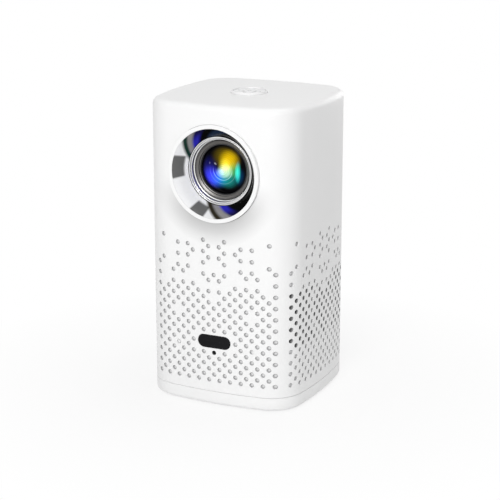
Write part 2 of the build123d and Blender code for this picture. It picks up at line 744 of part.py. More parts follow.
def eject_button():
    middle = TRAY_Z + TRAY_HEIGHT / 2
    face_y = HALF_DEPTH - bulge(EJECT_X, BULGE_R) + EJECT_PROUD
    x, z = EJECT_WIDTH / 2, EJECT_HEIGHT / 2
    return block((EJECT_X - x, face_y - 6, middle - z), (EJECT_X + x, face_y, middle + z))


def deck_plate():
    """Steel plate under the tray that carries motor, rods and screw in bent-up tabs."""
    plate = block(
        (-DECK_HALF_WIDTH, DECK_FRONT_Y, TRAY_Z), (DECK_HALF_WIDTH, DECK_BACK_Y, DECK_TOP_Z)
    )
    for y in (SPINDLE_MOTOR_R + 1, DECK_BACK_Y - TAB):
        for low, high in ((-ROD_X - 2, 2 - ROD_X), (ROD_X - 2, SCREW_X + 2)):
            plate += block((low, y, TRAY_Z), (high, y + TAB, ROD_Z + ROD_R + 0.4))
    return plate


def rods_between_tabs():
    return SPINDLE_MOTOR_R + 1 + TAB, DECK_BACK_Y - TAB


def guide_rods():
    start, end = rods_between_tabs()
    places = [(x, ROD_Z) for x in (ROD_X, -ROD_X)]
    return Part() + [flat_sided("y", ROD_R, start, end, at, POST_SIDES) for at in places]


def lead_screw():
    start, end = rods_between_tabs()
    return flat_sided("y", LEAD_SCREW_R, start + 0.1, end - 0.1, (SCREW_X, ROD_Z))


def laser_sled():
    """Carriage that slides on the two rods, with an arm over the screw and the objective."""
    half = SLED_WIDTH / 2
    low, high = DECK_TOP_Z + SLIDE_GAP, POCKET_Z - POCKET_FLOOR - SLIDE_GAP
    body = block((-half, SLED_Y - SLED_HALF, low), (half, SLED_Y + SLED_HALF, high))
    groove = ROD_R + FIT_GAP
    for side in (1, -1):
        near, far = sorted((side * (ROD_X - groove), side * (half + 1)))
        body -= block((near, 0, ROD_Z - groove), (far, BODY_DEPTH, ROD_Z + groove))
    body += block((ROD_X + 2, SLED_Y - 2, ROD_Z + groove), (SCREW_X + 2, SLED_Y + 2, high))
    return body - rod("y", LEAD_SCREW_R + FIT_GAP, 0, BODY_DEPTH, (SCREW_X, ROD_Z))


def objective():
    """Small laser lens on the sled."""
    low = POCKET_Z - POCKET_FLOOR - SLIDE_GAP
    return flat_sided("z", OBJECTIVE_R, low, POCKET_Z, (0, SLED_Y))


def sled_motor():
    start = rods_between_tabs()[0] - TAB
    return block(
        (SCREW_X - 4, start - 10, DECK_TOP_Z), (SCREW_X + 4, start, POCKET_Z - POCKET_FLOOR - 0.1)
    )


def spindle_motor():
    return flat_sided("z", SPINDLE_MOTOR_R, DECK_TOP_Z, MOTOR_TOP_Z)


def turntable():
    """Platter that the disc lies on, with the hub that fits its hole."""
    platter = flat_sided("z", PLATTER_R, MOTOR_TOP_Z + SLIDE_GAP, DISC_Z)
    return platter + rod("z", HUB_R, DISC_Z - 1, DISC_Z + HUB_HEIGHT, (0, 0))


# ---------------------------------------------------------------- boards and sockets
def main_board():
    """Upright board on the bosses behind the front wall."""
    x = BOARD_HALF_WIDTH
    return block((-x, BOARD_Y, BOARD_BOTTOM_Z), (x, BOARD_Y + BOARD, BOARD_TOP_Z))


def board_chips():
    """Processor with its cooler, memory, coils and plugs on the back of the main board."""
    y = BOARD_Y + BOARD
    places = [(0, 110, 15, 15, 9), (-26, 112, 6, 8, 1.6), (26, 112, 6, 8, 1.6)]
    places += [(x, 74, 5, 5, 6) for x in (-28, -12, 12, 28)]
    places += [(x, 140, 7, 3, 7) for x in (-24, 0, 24)]
    chips = Part()
    for x, z, half_x, half_z, tall in places:
        chips += block((x - half_x, y, z - half_z), (x + half_x, y + tall, z + half_z))
    return chips


def receiver():
    """Remote control receiver on the front of the main board, behind its own hole."""
    z = row_z(RECEIVER_ROW)
    body = block((-3, BOARD_Y - 4, z - 4), (3, BOARD_Y, z + 4))
    radius = HOLE_R - FIT_GAP
    return body + flat_sided("y", radius, FRONT_Y + 1.2, BOARD_Y - 4, (0, z), POST_SIDES)


def socket_board():
    x = SOCKET_BOARD_HALF_WIDTH
    back_y = HALF_DEPTH - WALL - bulge(x, BULGE_R) - 1
    return block((-x, 38, SOCKET_BOARD_Z), (x, back_y, SOCKET_Z))


def socket_face_y(x):
    """Outer face of the socket plate at a place across it."""
    return HALF_DEPTH - SOCKET_PLATE_SINK - bulge(x, BULGE_R)


def socket_plate():
    """Thin plate in the back window, following the wall, with a cut-out for each socket."""
    low, high = PANEL_LOW_Z - 1, PANEL_HIGH_Z + 1
    inner = slab(SOCKET_PLATE_SINK + SOCKET_PLATE_THICK, low, high)
    ring = slab(SOCKET_PLATE_SINK, low, high) - inner
    plate = ring & socket_window(0)
    for x, width, height in socket_sizes():
        plate -= block(
            (x - width / 2, HALF_DEPTH / 2, SOCKET_Z), (x + width / 2, BODY_DEPTH, SOCKET_Z + height)
        )
    return plate


def socket_sizes():
    """Across place, outer width and outer height of each socket on the board."""
    grow = 2 * SOCKET_WALL
    sizes = [(VIDEO_X, VIDEO_WIDTH + grow, VIDEO_HEIGHT + grow)]
    sizes += [(x, DATA_WIDTH + grow, DATA_HEIGHT + grow) for x in DATA_X]
    return [*sizes, (JACK_X, 4 * JACK_R, 4 * JACK_R), (INLET_X, 3 * INLET_R, 3 * INLET_R)]


def shell_socket(x, width, height, cut_corners):
    """Folded sheet socket, open to the back; the inside is clear for the plug."""
    face_y = socket_face_y(x)
    low, grow = SOCKET_Z, SOCKET_WALL
    body = block(
        (x - width / 2 - grow, face_y - SOCKET_DEPTH, low),
        (x + width / 2 + grow, face_y, low + height + 2 * grow),
    )
    room = Rectangle(width, height)
    if cut_corners:
        room = chamfer(room.vertices().group_by(Axis.Y)[0], 1.3)
    room = Plane.XZ * Pos(x, low + grow + height / 2) * room
    room = extrude(room, amount=BODY_DEPTH, dir=(0, 1, 0))
    return body - (room & block((-99, face_y - SOCKET_DEPTH + 1, 0), (99, BODY_DEPTH, 99)))


def round_socket(x, bore, side):
    """Moulded block with a round hole for a plug."""
    face_y = socket_face_y(x)
    body = block(
        (x - side / 2, face_y - SOCKET_DEPTH, SOCKET_Z), (x + side / 2, face_y, SOCKET_Z + side)
    )
    return body - rod("y", bore, face_y - SOCKET_DEPTH + 2, BODY_DEPTH, (x, SOCKET_Z + side / 2))


# ---------------------------------------------------------------- key pad
def pad_ring():
    """Raised round rim of the key pad."""
    low, high = CEILING_Z + 0.5, PAD_TOP_Z
    ring = Circle(PAD_R) - Circle(PAD_R - PAD_WALL)
    return Pos(0, 0, low) * extrude(ring, amount=high - low)


def power_key():
    top = PAD_TOP_Z - 0.3
    half = STEM / 2
    stem = block((-half, -half, STEM_Z), (half, half, top - 1))
    return rod("z", POWER_R, top - KEY_THICK, top, (0, 0)) + stem


def ring_key(turn):
    """Quarter of the ring round the power key, on its own stem."""
    top = PAD_TOP_Z - 0.8
    outer = PAD_R - PAD_WALL - KEY_GAP
    ring = Circle(outer) - Circle(KEY_INNER_R)
    slit = KEY_GAP / sqrt(2)
    quarter = ring & (Rot(0, 0, 45) * Pos(outer + slit, outer + slit) * Rectangle(2 * outer, 2 * outer))
    key = Pos(0, 0, top - KEY_THICK) * extrude(quarter, amount=KEY_THICK)
    half = STEM / 2
    key += block((-half, STEM_AT - half, STEM_Z), (half, STEM_AT + half, top - 1))
    return Rot(0, 0, turn) * key


def key_board():
    x, y = KEY_BOARD_HALF
    return block((-x, -y, KEY_BOARD_Z), (x, y, KEY_BOARD_TOP_Z))


def dome_switches():
    """One small switch under each key."""
    switches = Part()
    for x, y in ((0, 0), (0, STEM_AT), (0, -STEM_AT), (STEM_AT, 0), (-STEM_AT, 0)):
        switches += block(
            (x - 2, y - 2, KEY_BOARD_TOP_Z), (x + 2, y + 2, KEY_BOARD_TOP_Z + SWITCH_HEIGHT)
        )
    return switches


# ---------------------------------------------------------------- all pieces
PIECES = {
    "housing": housing(),
    "base_cover": base_cover(),
    "rubber_feet": feet(),
    "tripod_bush": tripod_bush(),
    "front_plate": front_plate_blank(PLATE_RECESS, 0),
    "lens_bezel": lens_bezel(),
    "lens_mount": lens_mount(),
    "focus_ring": focus_ring(),
    "lens_cell": lens_cell(),
    "front_glass": front_glass(),
    "rear_glass": rear_glass(),
    "engine_box": engine_box(),
    "fold_mirror": mirror(),
    "lower_fresnel": sheet_at(PANEL_Z, FRESNEL_THICK, 0),
    "panel_frame": sheet_at(PANEL_Z + FRESNEL_THICK, PANEL_FRAME, PANEL_BORDER),
    "picture_panel": sheet_at(PANEL_Z + FRESNEL_THICK + PANEL_FRAME, PANEL_THICK, 0),
    "upper_fresnel": sheet_at(
        PANEL_Z + FRESNEL_THICK + PANEL_FRAME + PANEL_THICK, FRESNEL_THICK, 0
    ),
    "condenser_lens": condenser_lens(),
    "lamp": lamp(),
    "heat_sink": heat_sink(),
    "engine_bracket": engine_bracket(),
    "fan_frame": fan_frame(),
    "fan_rotor": fan_rotor(),
    "speaker_basket": speaker_basket(),
    "speaker_cone": speaker_cone(),
    "speaker_magnet": speaker_magnet(),
    "drive_pan": drive_pan(),
    "drive_cover": drive_cover(),
    "runner_right": runner(1),
    "runner_left": runner(-1),
    "disc_tray": disc_tray(),
    "tray_door": tray_door(),
    "eject_button": eject_button(),
    "deck_plate": deck_plate(),
    "guide_rods": guide_rods(),
    "lead_screw": lead_screw(),
    "laser_sled": laser_sled(),
    "objective": objective(),
    "sled_motor": sled_motor(),
    "spindle_motor": spindle_motor(),
    "turntable": turntable(),
    "main_board": main_board(),
    "board_chips": board_chips(),
    "receiver": receiver(),
    "socket_board": socket_board(),
    "socket_plate": socket_plate(),
    "video_socket": shell_socket(VIDEO_X, VIDEO_WIDTH, VIDEO_HEIGHT, True),
    "data_socket_a": shell_socket(DATA_X[0], DATA_WIDTH, DATA_HEIGHT, False),
    "data_socket_b": shell_socket(DATA_X[1], DATA_WIDTH, DATA_HEIGHT, False),
    "sound_jack": round_socket(JACK_X, JACK_R, 4 * JACK_R),
    "power_inlet": round_socket(INLET_X, INLET_R, 3 * INLET_R),
    "pad_ring": pad_ring(),
    "power_key": power_key(),
    "back_key": ring_key(0),
    "left_key": ring_key(90),
    "front_key": ring_key(180),
    "right_key": ring_key(270),
    "key_board": key_board(),
    "dome_switches": dome_switches(),
}

for name, shape in PIECES.items():
    save(name, shape)
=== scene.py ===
import json
from math import atan2, cos, hypot, pi, radians, sin, sqrt

import bmesh
import bpy
import numpy as np
from mathutils import Matrix, Vector


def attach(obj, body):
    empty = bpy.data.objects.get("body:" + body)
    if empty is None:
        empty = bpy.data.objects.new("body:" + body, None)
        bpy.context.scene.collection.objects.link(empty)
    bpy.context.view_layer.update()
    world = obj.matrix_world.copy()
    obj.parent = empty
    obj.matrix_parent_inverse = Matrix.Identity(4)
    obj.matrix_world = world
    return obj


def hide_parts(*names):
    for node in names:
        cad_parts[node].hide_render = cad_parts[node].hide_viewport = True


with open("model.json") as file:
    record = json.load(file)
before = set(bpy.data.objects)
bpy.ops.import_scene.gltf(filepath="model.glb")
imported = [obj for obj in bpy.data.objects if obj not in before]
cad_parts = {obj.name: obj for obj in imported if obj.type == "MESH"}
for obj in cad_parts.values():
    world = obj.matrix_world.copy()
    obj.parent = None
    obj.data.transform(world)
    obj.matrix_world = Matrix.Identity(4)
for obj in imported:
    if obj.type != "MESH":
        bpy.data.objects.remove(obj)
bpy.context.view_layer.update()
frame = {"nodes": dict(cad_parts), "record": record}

# Sizes are in millimetres, as they are measured on the object, and MM makes them metres.
MM = 0.001
# Faces that meet at more degrees than this show a sharp edge.
SHARP_ANGLE = 35

# ---------------------------------------------------------------- the case
HALF_WIDTH = 72.5
HALF_DEPTH = 71.75
BULGE_R = 328.0
CORNER_R = 30.0
WALL = 2.5
BODY_TOP = 265.0
CEILING_Z = BODY_TOP - WALL
TOP_EDGE_R = 6.0
TOP_EDGE_Z = BODY_TOP - TOP_EDGE_R
SEAM_Z = 13.7
SEAM_GROOVE = 0.5
GROOVE_DEPTH = 1.0
BASE_EDGE = 3.5
BASE_WALL = 4.6
FOOT_HEIGHT, FOOT_R, FOOT_PLACE = 1.0, 7.5, 50.0
FLOOR_Z = 3.5
LIP_INSET = WALL + 0.2
LIP_TOP_Z = SEAM_Z + 3.0
BUSH_R = 6.0
BUSH_BOSS_R = 8.5
BUSH_TOP_Z = 10.0

# ---------------------------------------------------------------- dimples and holes: sizes
PITCH = 5.0
COLUMNS = 23
ROWS = 26
FIRST_ROW_Z = 23.9
DIMPLE_R = 2.05
DIMPLE_FLOOR_R = 1.9
DIMPLE_DEPTH = 1.5
HOLE_INNER_R = 1.9
EDGE = COLUMNS * PITCH / 2
FIELD_LOW = FIRST_ROW_Z - PITCH / 2
FIELD_HIGH = FIELD_LOW + ROWS * PITCH
STEPS = 4
# Rows that have a dimple, for each column counted from the corner to the middle one.
COLUMN_ROWS = (
    [*range(0, 21, 2)],
    [*range(1, 16, 2), 21, 25],
    [*range(0, 17, 2)],
    [*range(1, 20, 2)],
    [*range(0, 17, 2), 20, 22, 24],
    [*range(1, 20, 2)],
    [*range(0, 17, 2), 20, 22, 24],
    [*range(1, 18, 2), 23],
    [*range(0, 17, 2)],
    [*range(1, 16, 2), 19, 21, 23, 25],
    [*range(0, 19, 2), 22, 24],
    [*range(1, 14, 2), 19],
)
OPEN_ROWS = range(7, 17)
BOSS_CELLS = {(6, 8), (16, 8)}
RECEIVER_CELL = (11, 5)
PLATE_CELLS = (range(8, 15), range(6, 9))
PLATED = {(column, row) for column in PLATE_CELLS[0] for row in PLATE_CELLS[1]}
BARE_FRONT_CELLS = {(4, 12), (18, 12)}
SLOT_ROWS = (1.0, 3.5)
SLOT_END_CELLS = {"right": {(22, 1), (22, 2), (22, 3)}, "left": {(0, 1), (0, 2), (0, 3)}}
SOCKET_ROWS = (3.5, 8)

# ---------------------------------------------------------------- the lens
LENS_Z = 206.7
LENS_HOLE_R = 42.2
RIM_Y = -72.7
RIM_R = 42.0
RIM_INNER_R = 38.5
CONE_BACK_Y = -58.55
CONE_INNER_R = 30.0
LIP_R = 29.5
# Slant of the painted reflection streaks on the lens cone, as a share of a turn.
SLANT = 28 / 360
MOUNT_BORE_R = 26.1
MOUNT_BACK_Y = -30.0
MOUNT_FLANGE = 30.0
RING_R = 25.4
RING_FRONT_Y = -54.25
RING_BACK_Y = -33.3
RING_BEVEL = 1.6
RING_BORE_R = 22.2
CELL_R = 22.0
CELL_BORE_R = 21.4
CELL_FRONT_Y = -51.75
CELL_BACK_Y = -24.0
GLASS_R = 21.2
GLASS_APEX_Y = -53.75
GLASS_DOME_R = 62.0
GLASS_BACK_Y = -45.75

# ---------------------------------------------------------------- plate, key pad, tray door
PLATE_Z = 58.9
PLATE_LENGTH = 31.0
PLATE_HEIGHT = 11.5
PLATE_RECESS = 0.9
PLATE_PROUD = 0.3
GAP = 0.2
WINDOW_Z = 49.7
WINDOW_HALF = (44.2, 6.9)
WINDOW_R = 3.2
PAD_R = 15.9
PAD_HOLE_R = 16.1
PAD_TOP_Z = 267.0
PAD_WALL = 1.3
PAD_LOW_Z = 263.0
KEY_INNER_R = 6.0
KEY_OUTER_R = 14.3
KEY_SLIT = 0.3
KEY_TOP_Z = 266.2
KEY_THICK = 3.8
POWER_R = 5.2
POWER_TOP_Z = 266.7

# ---------------------------------------------------------------- inside and at the back
POST_X, POST_Y = 51.0, 51.0
POST_R, SCREW_R, BOSS_R = 4.0, 1.4, 3.0
POST_JOINT_Z, POST_TOP_Z = 14.2, 24.0
FAN_BACK_Y, FAN_Z, FAN_HOLE = 59.0, 88.0, 25.0
BOARD_FRONT_Y, BOARD_MIDDLE_Z = -62.0, 101.0
BOARD_HOLES = (37.0, 49.0)
SPEAKER_FACE_X, SPEAKER_Z, SPEAKER_R, SPEAKER_RING = 66.0, 81.4, 28.0, 3.0
KEY_POST_X, KEY_BOARD_TOP_Z = 20.0, 257.5
SOCKET_SINK = 0.9
# Each flat socket: middle, lower and upper face of its tongue, half width, contacts' pitch, count.
FLAT_SOCKETS = (
    (15.0, 47.7, 49.4, 5.6, 2.3, 4),
    (31.0, 47.7, 49.4, 5.6, 2.3, 4),
    (-4.0, 48.8, 49.9, 5.8, 1.05, 10),
)
SOCKET_DEPTH, TONGUE_SINK = 11.0, 1.6
JACK_X, JACK_Z, JACK_R = -18.0, 49.7, 1.8
INLET_X, INLET_Z, PIN_R = -33.0, 50.3, 0.8
PLATTER_R, PLATTER_LOW_Z, DISC_Z = 14.0, 33.1, 35.0
HUB_R, HUB_TOP_Z, CATCH_R = 7.35, 37.0, 0.55
OBJECTIVE_Y, OBJECTIVE_R, LASER_LENS_R = 24.0, 3.5, 2.45
OBJECTIVE_LOW_Z, OBJECTIVE_TOP_Z = 32.7, 34.2

# ---------------------------------------------------------------- the photograph's camera
CAMERA_AZIMUTH = 25.2435
CAMERA_ELEVATION = 15.4802
CAMERA_DISTANCE = 1396.6
CAMERA_AIM_Z = 122.96
CAMERA_SIDE = 0.45
CAMERA_RISE = 0.12
CAMERA_LENS = 112.91

# ---------------------------------------------------------------- light, in metres and watts
AMBIENT = 0.42
FLOOR_REACH = 3.0
# Name, place, size and power.
LAMPS = (
    ("key_lamp", (0.33, -1.75, 1.05), 0.8, 20.6),
    ("top_lamp", (0.2, 0.3, 2.0), 1.0, 7.6),
    ("back_lamp", (0.35, 1.8, 0.45), 0.8, 5.5),
)


# ---------------------------------------------------------------- meshes from arrays
class Skin:
    """Points and faces of one piece, in millimetres. Points that meet are merged in the end."""

    def __init__(self):
        self.points = []
        self.faces = []
        self.count = 0

    def add(self, points, *faces):
        points = np.asarray(points, float).reshape(-1, 3)
        self.points.append(points)
        self.faces.extend(np.asarray(block) + self.count for block in faces)
        self.count += len(points)


def grid(rows, columns, around=False):
    """Four-sided faces between rows of points, closed round the rows if asked."""
    row = np.arange(rows - 1)[:, None] * columns
    column = np.arange(columns if around else columns - 1)[None, :]
    after = (column + 1) % columns
    corners = (row + column, row + after, row + columns + after, row + columns + column)
    return np.stack(corners, -1).reshape(-1, 4)


def loft(skin, loops):
    """Skin through closed loops that all have the same number of points."""
    loops = np.asarray(loops, float)
    skin.add(loops, grid(loops.shape[0], loops.shape[1], around=True))


def shown(name, data):
    """New object that stands in the scene."""
    made = bpy.data.objects.new(name, data)
    bpy.context.scene.collection.objects.link(made)
    return made


def piece(name, skin, body, slot, *nodes, finish=None):
    """Makes the mesh: merges what meets, points the faces out, and stands it for the CAD nodes."""
    mesh = bpy.data.meshes.new(name)
    faces = [face for block in skin.faces for face in block.tolist()]
    mesh.from_pydata((np.concatenate(skin.points) * MM).tolist(), [], faces)
    shape = bmesh.new()
    shape.from_mesh(mesh)
    bmesh.ops.remove_doubles(shape, verts=shape.verts, dist=2e-6)
    bmesh.ops.recalc_face_normals(shape, faces=shape.faces)
    shape.to_mesh(mesh)
    shape.free()
    mesh.shade_smooth()
    mesh.set_sharp_from_angle(angle=radians(SHARP_ANGLE))
    mesh.materials.append(FINISHES[finish or slot])
    made = shown(name, mesh)
    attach(made, body)
    if nodes:
        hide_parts(*nodes)
    return made


def rectangle(left, right, low, high):
    """Outline of its four corners."""
    return [(left, low), (right, low), (right, high), (left, high)]


def soften(points, radius, steps=4):
    """Closed outline whose corners are cut back by radius and bridged by a parabola."""
    points = np.asarray(points, float)
    before = np.roll(points, 1, 0) - points
    after = np.roll(points, -1, 0) - points
    start = points + before / np.linalg.norm(before, axis=1)[:, None] * radius
    end = points + after / np.linalg.norm(after, axis=1)[:, None] * radius
    t = np.linspace(0, 1, steps + 1)[None, :, None]
    bend = (1 - t) ** 2 * start[:, None] + 2 * t * (1 - t) * points[:, None] + t**2 * end[:, None]
    return bend.reshape(-1, 2)


def turned(profile, around=160, centre=(0.0, LENS_Z), upright=False):
    """Points (radius, place) carried round an axis.

    The axis runs along Y through (x, z) or, if upright, along Z through (x, y). With a the angle,
    a point is at radius cos a and radius sin a from the centre, and at its place on the axis."""
    profile = np.asarray(profile, float)
    angle = np.linspace(0, 2 * pi, around, endpoint=False)[None, :]
    radius, along = profile[:, :1], profile[:, 1:]
    first = centre[0] + radius * np.cos(angle)
    second = centre[1] + radius * np.sin(angle)
    along = along + 0 * angle
    return np.stack((first, second, along) if upright else (first, along, second), -1)


def lathe(profile, *where, **more):
    """Closed piece whose profile starts and ends on the axis."""
    skin = Skin()
    loft(skin, turned(profile, *where, **more))
    return skin


def ring(skin, profile, *where):
    """Adds a closed ring: the profile is a closed outline that doesn't touch the axis."""
    loops = turned(profile, *where)
    loft(skin, [*loops, loops[0]])
    return skin


def hollow_post(skin, radius, bore, start, end, centre, upright=True, around=24, edge=0.2):
    """Adds a round post with a hole through it and softly rounded ends."""
    return ring(skin, soften(rectangle(bore, radius, start, end), edge, 2), around, centre, upright)


def prism(skin, outline, start, end, along, *ends):
    """Adds a flat outline carried along one axis, 0 for x, 1 for y or 2 for z.

    Each of its ends is one face, or the faces that are given."""
    loops = [np.insert(np.asarray(outline, float), along, spot, axis=1) for spot in (start, end)]
    loft(skin, loops)
    for loop in loops:
        skin.add(loop, *(ends or [[np.arange(len(loop))]]))


def carry(skin, section, angle):
    """Adds a section (radius, z) carried round the middle of the plan, with flat ends.

    angle holds one row for each step, and one column or one for each point of the section."""
    radius, z = np.asarray(section, float).T
    points = np.stack([radius * np.cos(angle), radius * np.sin(angle), z + 0 * angle], -1)
    steps, count = len(angle), len(radius)
    ends = np.stack([np.arange(count), np.arange(count) + (steps - 1) * count])
    skin.add(points, grid(steps, count, around=True), ends)


# ---------------------------------------------------------------- the case's plan
def corner_centre():
    """Centre of the corner arc that runs smoothly into the bulged front and side."""
    front, side = (0.0, BULGE_R - HALF_DEPTH), (HALF_WIDTH - BULGE_R, 0.0)
    run = (side[0] - front[0], side[1] - front[1])
    apart = hypot(*run)
    rise = sqrt((BULGE_R - CORNER_R) ** 2 - (apart / 2) ** 2) / apart
    x = (front[0] + side[0]) / 2 - run[1] * rise
    y = (front[1] + side[1]) / 2 + run[0] * rise
    return abs(x), abs(y)


CORNER_X, CORNER_Y = corner_centre()
# Each face: its direction across, its direction outwards, its half size and its corner's centre.
FACES = {
    "front": ((1, 0), (0, -1), HALF_DEPTH, (CORNER_X, CORNER_Y)),
    "right": ((0, 1), (1, 0), HALF_WIDTH, (CORNER_Y, CORNER_X)),
    "back": ((-1, 0), (0, 1), HALF_DEPTH, (CORNER_X, CORNER_Y)),
    "left": ((0, -1), (-1, 0), HALF_WIDTH, (CORNER_Y, CORNER_X)),
}
ORDER = tuple(FACES)


def wall(face, across, inset):
    """How far out a wall stands: the bulge's arc, and past its end the corner's arc.

    At a distance c across, the bulge with its radius R drawn in by the inset stands at the face's
    half size less BULGE_R plus sqrt(R^2 - c^2). The corner stands at its own centre plus
    sqrt(r^2 - d^2), with r its radius drawn in and d the distance across from that centre."""
    half, (middle, out) = FACES[face][2:]
    across = np.abs(across)
    bend = middle * (BULGE_R - inset) / (BULGE_R - CORNER_R)
    flat = half - BULGE_R + np.sqrt((BULGE_R - inset) ** 2 - across**2)
    turn = np.maximum((CORNER_R - inset) ** 2 - (across - middle) ** 2, 0)
    return np.where(across <= bend, flat, out + np.sqrt(turn))


def place(face, across, z, inset=0.0, sunk=0.0):
    """Point on a wall's skin, drawn in evenly by inset and then straight in by sunk."""
    across, z, inset, sunk = np.broadcast_arrays(across, z, inset, sunk)
    side, out = FACES[face][:2]
    reach = wall(face, across, inset) - sunk
    x = across * side[0] + reach * out[0]
    y = across * side[1] + reach * out[1]
    return np.stack((x, y, z), -1)


def corner(face, z, inset=0.0):
    """Points round the corner after a face, from its last column to the next face's first."""
    side, out, _, (middle, reach) = FACES[face]
    following = ORDER[(ORDER.index(face) + 1) % 4]
    centre = np.array([middle * side[i] + reach * out[i] for i in (0, 1)])
    start = place(face, EDGE, 0, inset)[:2] - centre
    end = place(following, -EDGE, 0, inset)[:2] - centre
    first, last = atan2(start[1], start[0]), atan2(end[1], end[0])
    last = first + (last - first + pi) % (2 * pi) - pi
    angle = np.linspace(first, last, STEPS + 1)[None, :]
    z = np.asarray(z, float).reshape(-1, 1)
    radius = CORNER_R - inset
    x = centre[0] + radius * np.cos(angle) + 0 * z
    y = centre[1] + radius * np.sin(angle) + 0 * z
    return np.stack((x, y, z + 0 * angle), -1)


def drawn_in(loop, inset):
    """Outer loop drawn in evenly: each point moves along the radius of its own arc."""
    loop = loop.copy()
    x, y = loop[:, 0], loop[:, 1]
    bend = BULGE_R / (BULGE_R - CORNER_R)
    round_ = (np.abs(x) > CORNER_X * bend) & (np.abs(y) > CORNER_Y * bend)
    ends = ~round_ & (np.abs(y) > np.abs(x))
    centre_x = np.where(ends, 0, np.sign(x) * (HALF_WIDTH - BULGE_R))
    centre_y = np.where(ends, np.sign(y) * (HALF_DEPTH - BULGE_R), 0)
    centre_x = np.where(round_, np.sign(x) * CORNER_X, centre_x)
    centre_y = np.where(round_, np.sign(y) * CORNER_Y, centre_y)
    share = inset / np.where(round_, CORNER_R, BULGE_R)
    loop[:, 0] += (centre_x - x) * share
    loop[:, 1] += (centre_y - y) * share
    return loop


def across_places():
    """Places of the columns' edges and the steps between them, across a face."""
    return np.linspace(-EDGE, EDGE, COLUMNS * STEPS + 1)


def perimeter(z, inset=0.0):
    """Closed loop round the whole case at one height."""
    loop = []
    for face in ORDER:
        loop.append(place(face, across_places(), z, inset)[:-1])
        loop.append(corner(face, z, inset)[0, :-1])
    return np.concatenate(loop)


def panel(skin, face, heights, inset=0.0):
    """Plain stretch of wall between the first and last column."""
    across = across_places()[None, :]
    heights = np.asarray(heights, float)[:, None]
    skin.add(place(face, across, heights, inset), grid(len(heights), across.size))


def corner_strip(skin, face, heights, inset=0.0):
    """Plain stretch of the corner after a face."""
    skin.add(corner(face, heights, inset), grid(len(heights), STEPS + 1))


# ---------------------------------------------------------------- dimples and holes
def cell_loop(places, shape, size):
    """Across and height of the points round each cell, on a square or on a circle.

    size is the square's half side or the circle's radius. Both have four times STEPS points and
    start at the lower left."""
    t = np.arange(STEPS) * 2 / STEPS - 1
    one = np.ones(STEPS)
    x, y = np.concatenate([t, one, -t, -one]), np.concatenate([-one, t, one, -t])
    if shape == "circle":
        angle = radians(225) + np.arange(4 * STEPS) * 2 * pi / (4 * STEPS)
        x, y = np.cos(angle), np.sin(angle)
    column, row = np.asarray(places, float).T[..., None]
    middle = (column - (COLUMNS - 1) / 2) * PITCH
    return middle + x * size, FIRST_ROW_Z + row * PITCH + y * size


def cells(skin, face, places, rings):
    """One square of wall for each place, with rings (shape, size, inset, sunk) in each other."""
    loops = [
        place(face, *cell_loop(places, shape, size), inset, sunk)
        for shape, size, inset, sunk in rings
    ]
    start = np.arange(len(places))[:, None, None] * 4 * STEPS * len(rings)
    faces = start + grid(len(rings), 4 * STEPS, around=True)
    skin.add(np.stack(loops, 1), faces.reshape(-1, 4))


def dimple_floors(skin, face, places):
    """Closes each dimple: a fan of faces round the middle of its flat floor."""
    across, z = cell_loop(places, "circle", DIMPLE_FLOOR_R)
    points = place(face, across, z, 0, DIMPLE_DEPTH)
    middle = place(face, across.mean(1), z.mean(1), 0, DIMPLE_DEPTH)[:, None]
    around = np.arange(4 * STEPS)
    fan = np.stack([around, (around + 1) % (4 * STEPS), np.full(4 * STEPS, 4 * STEPS)], -1)
    start = np.arange(len(places))[:, None, None] * (4 * STEPS + 1)
    skin.add(np.concatenate([points, middle], 1), (start + fan).reshape(-1, 3))


def plain_cells(skin, face, places, inset):
    """A square of plain wall for each place, in upright strips."""
    start = np.arange(len(places))[:, None] * 4 * STEPS
    side, top = 4 * STEPS, 3 * STEPS
    strips = [[0, 1, *range(top - 1, side)], [STEPS - 1, *range(STEPS, 2 * STEPS + 2)]]
    strips += [[i, i + 1, top - 1 - i, top - i] for i in range(1, STEPS - 1)]
    points = place(face, *cell_loop(places, "square", PITCH / 2), inset)
    skin.add(points, *[start + np.array(strip) for strip in strips])


def window(skin, face, low, high, heights, centre, half, radius, rings, through):
    """Stretch of wall with one rounded opening: straight lines run from its edge to the opening.

    The opening's outline is the edge's points, each drawn to the nearest point of an inner
    rectangle and pushed out from there by radius."""
    width = COLUMNS * STEPS
    if face == "front" and not through:
        width = len(PLATE_CELLS[0]) * STEPS
    reach = width * PITCH / STEPS / 2
    t = np.linspace(-reach, reach, width + 1)
    up = np.linspace(low, high, heights + 1)
    x = np.concatenate([t[:-1], np.full(heights, reach), t[:0:-1], np.full(heights, -reach)])
    z = np.concatenate([np.full(width, low), up[:-1], np.full(width, high), up[:0:-1]])
    x, z = x - centre[0], z - centre[1]
    inner_x = np.clip(x, radius - half[0], half[0] - radius)
    inner_z = np.clip(z, radius - half[1], half[1] - radius)
    away = np.hypot(x - inner_x, z - inner_z)
    hole_x = inner_x + (x - inner_x) / away * radius
    hole_z = inner_z + (z - inner_z) / away * radius
    step = np.linspace(0, 1, rings + 1)[:, None]
    across = centre[0] + x + (hole_x - x) * step
    height = centre[1] + z + (hole_z - z) * step
    for inset in (0.0, WALL) if through else (0.0,):
        loft(skin, place(face, across, height, inset))
    across, height = across[-1], height[-1]
    if through:
        loft(skin, [place(face, across, height, inset) for inset in (0.0, WALL)])
        return
    floor = place(face, across, height, PLATE_RECESS)
    loft(skin, [place(face, across, height), floor])
    skin.add(floor, np.arange(len(floor))[None])


def dimpled(face):
    """Every (column, row) with a dimple on a face."""
    found = set()
    for column in range(COLUMNS):
        found |= {(column, row) for row in COLUMN_ROWS[min(column, COLUMNS - 1 - column)]}
    if face == "front":
        return found - PLATED - BARE_FRONT_CELLS
    return found


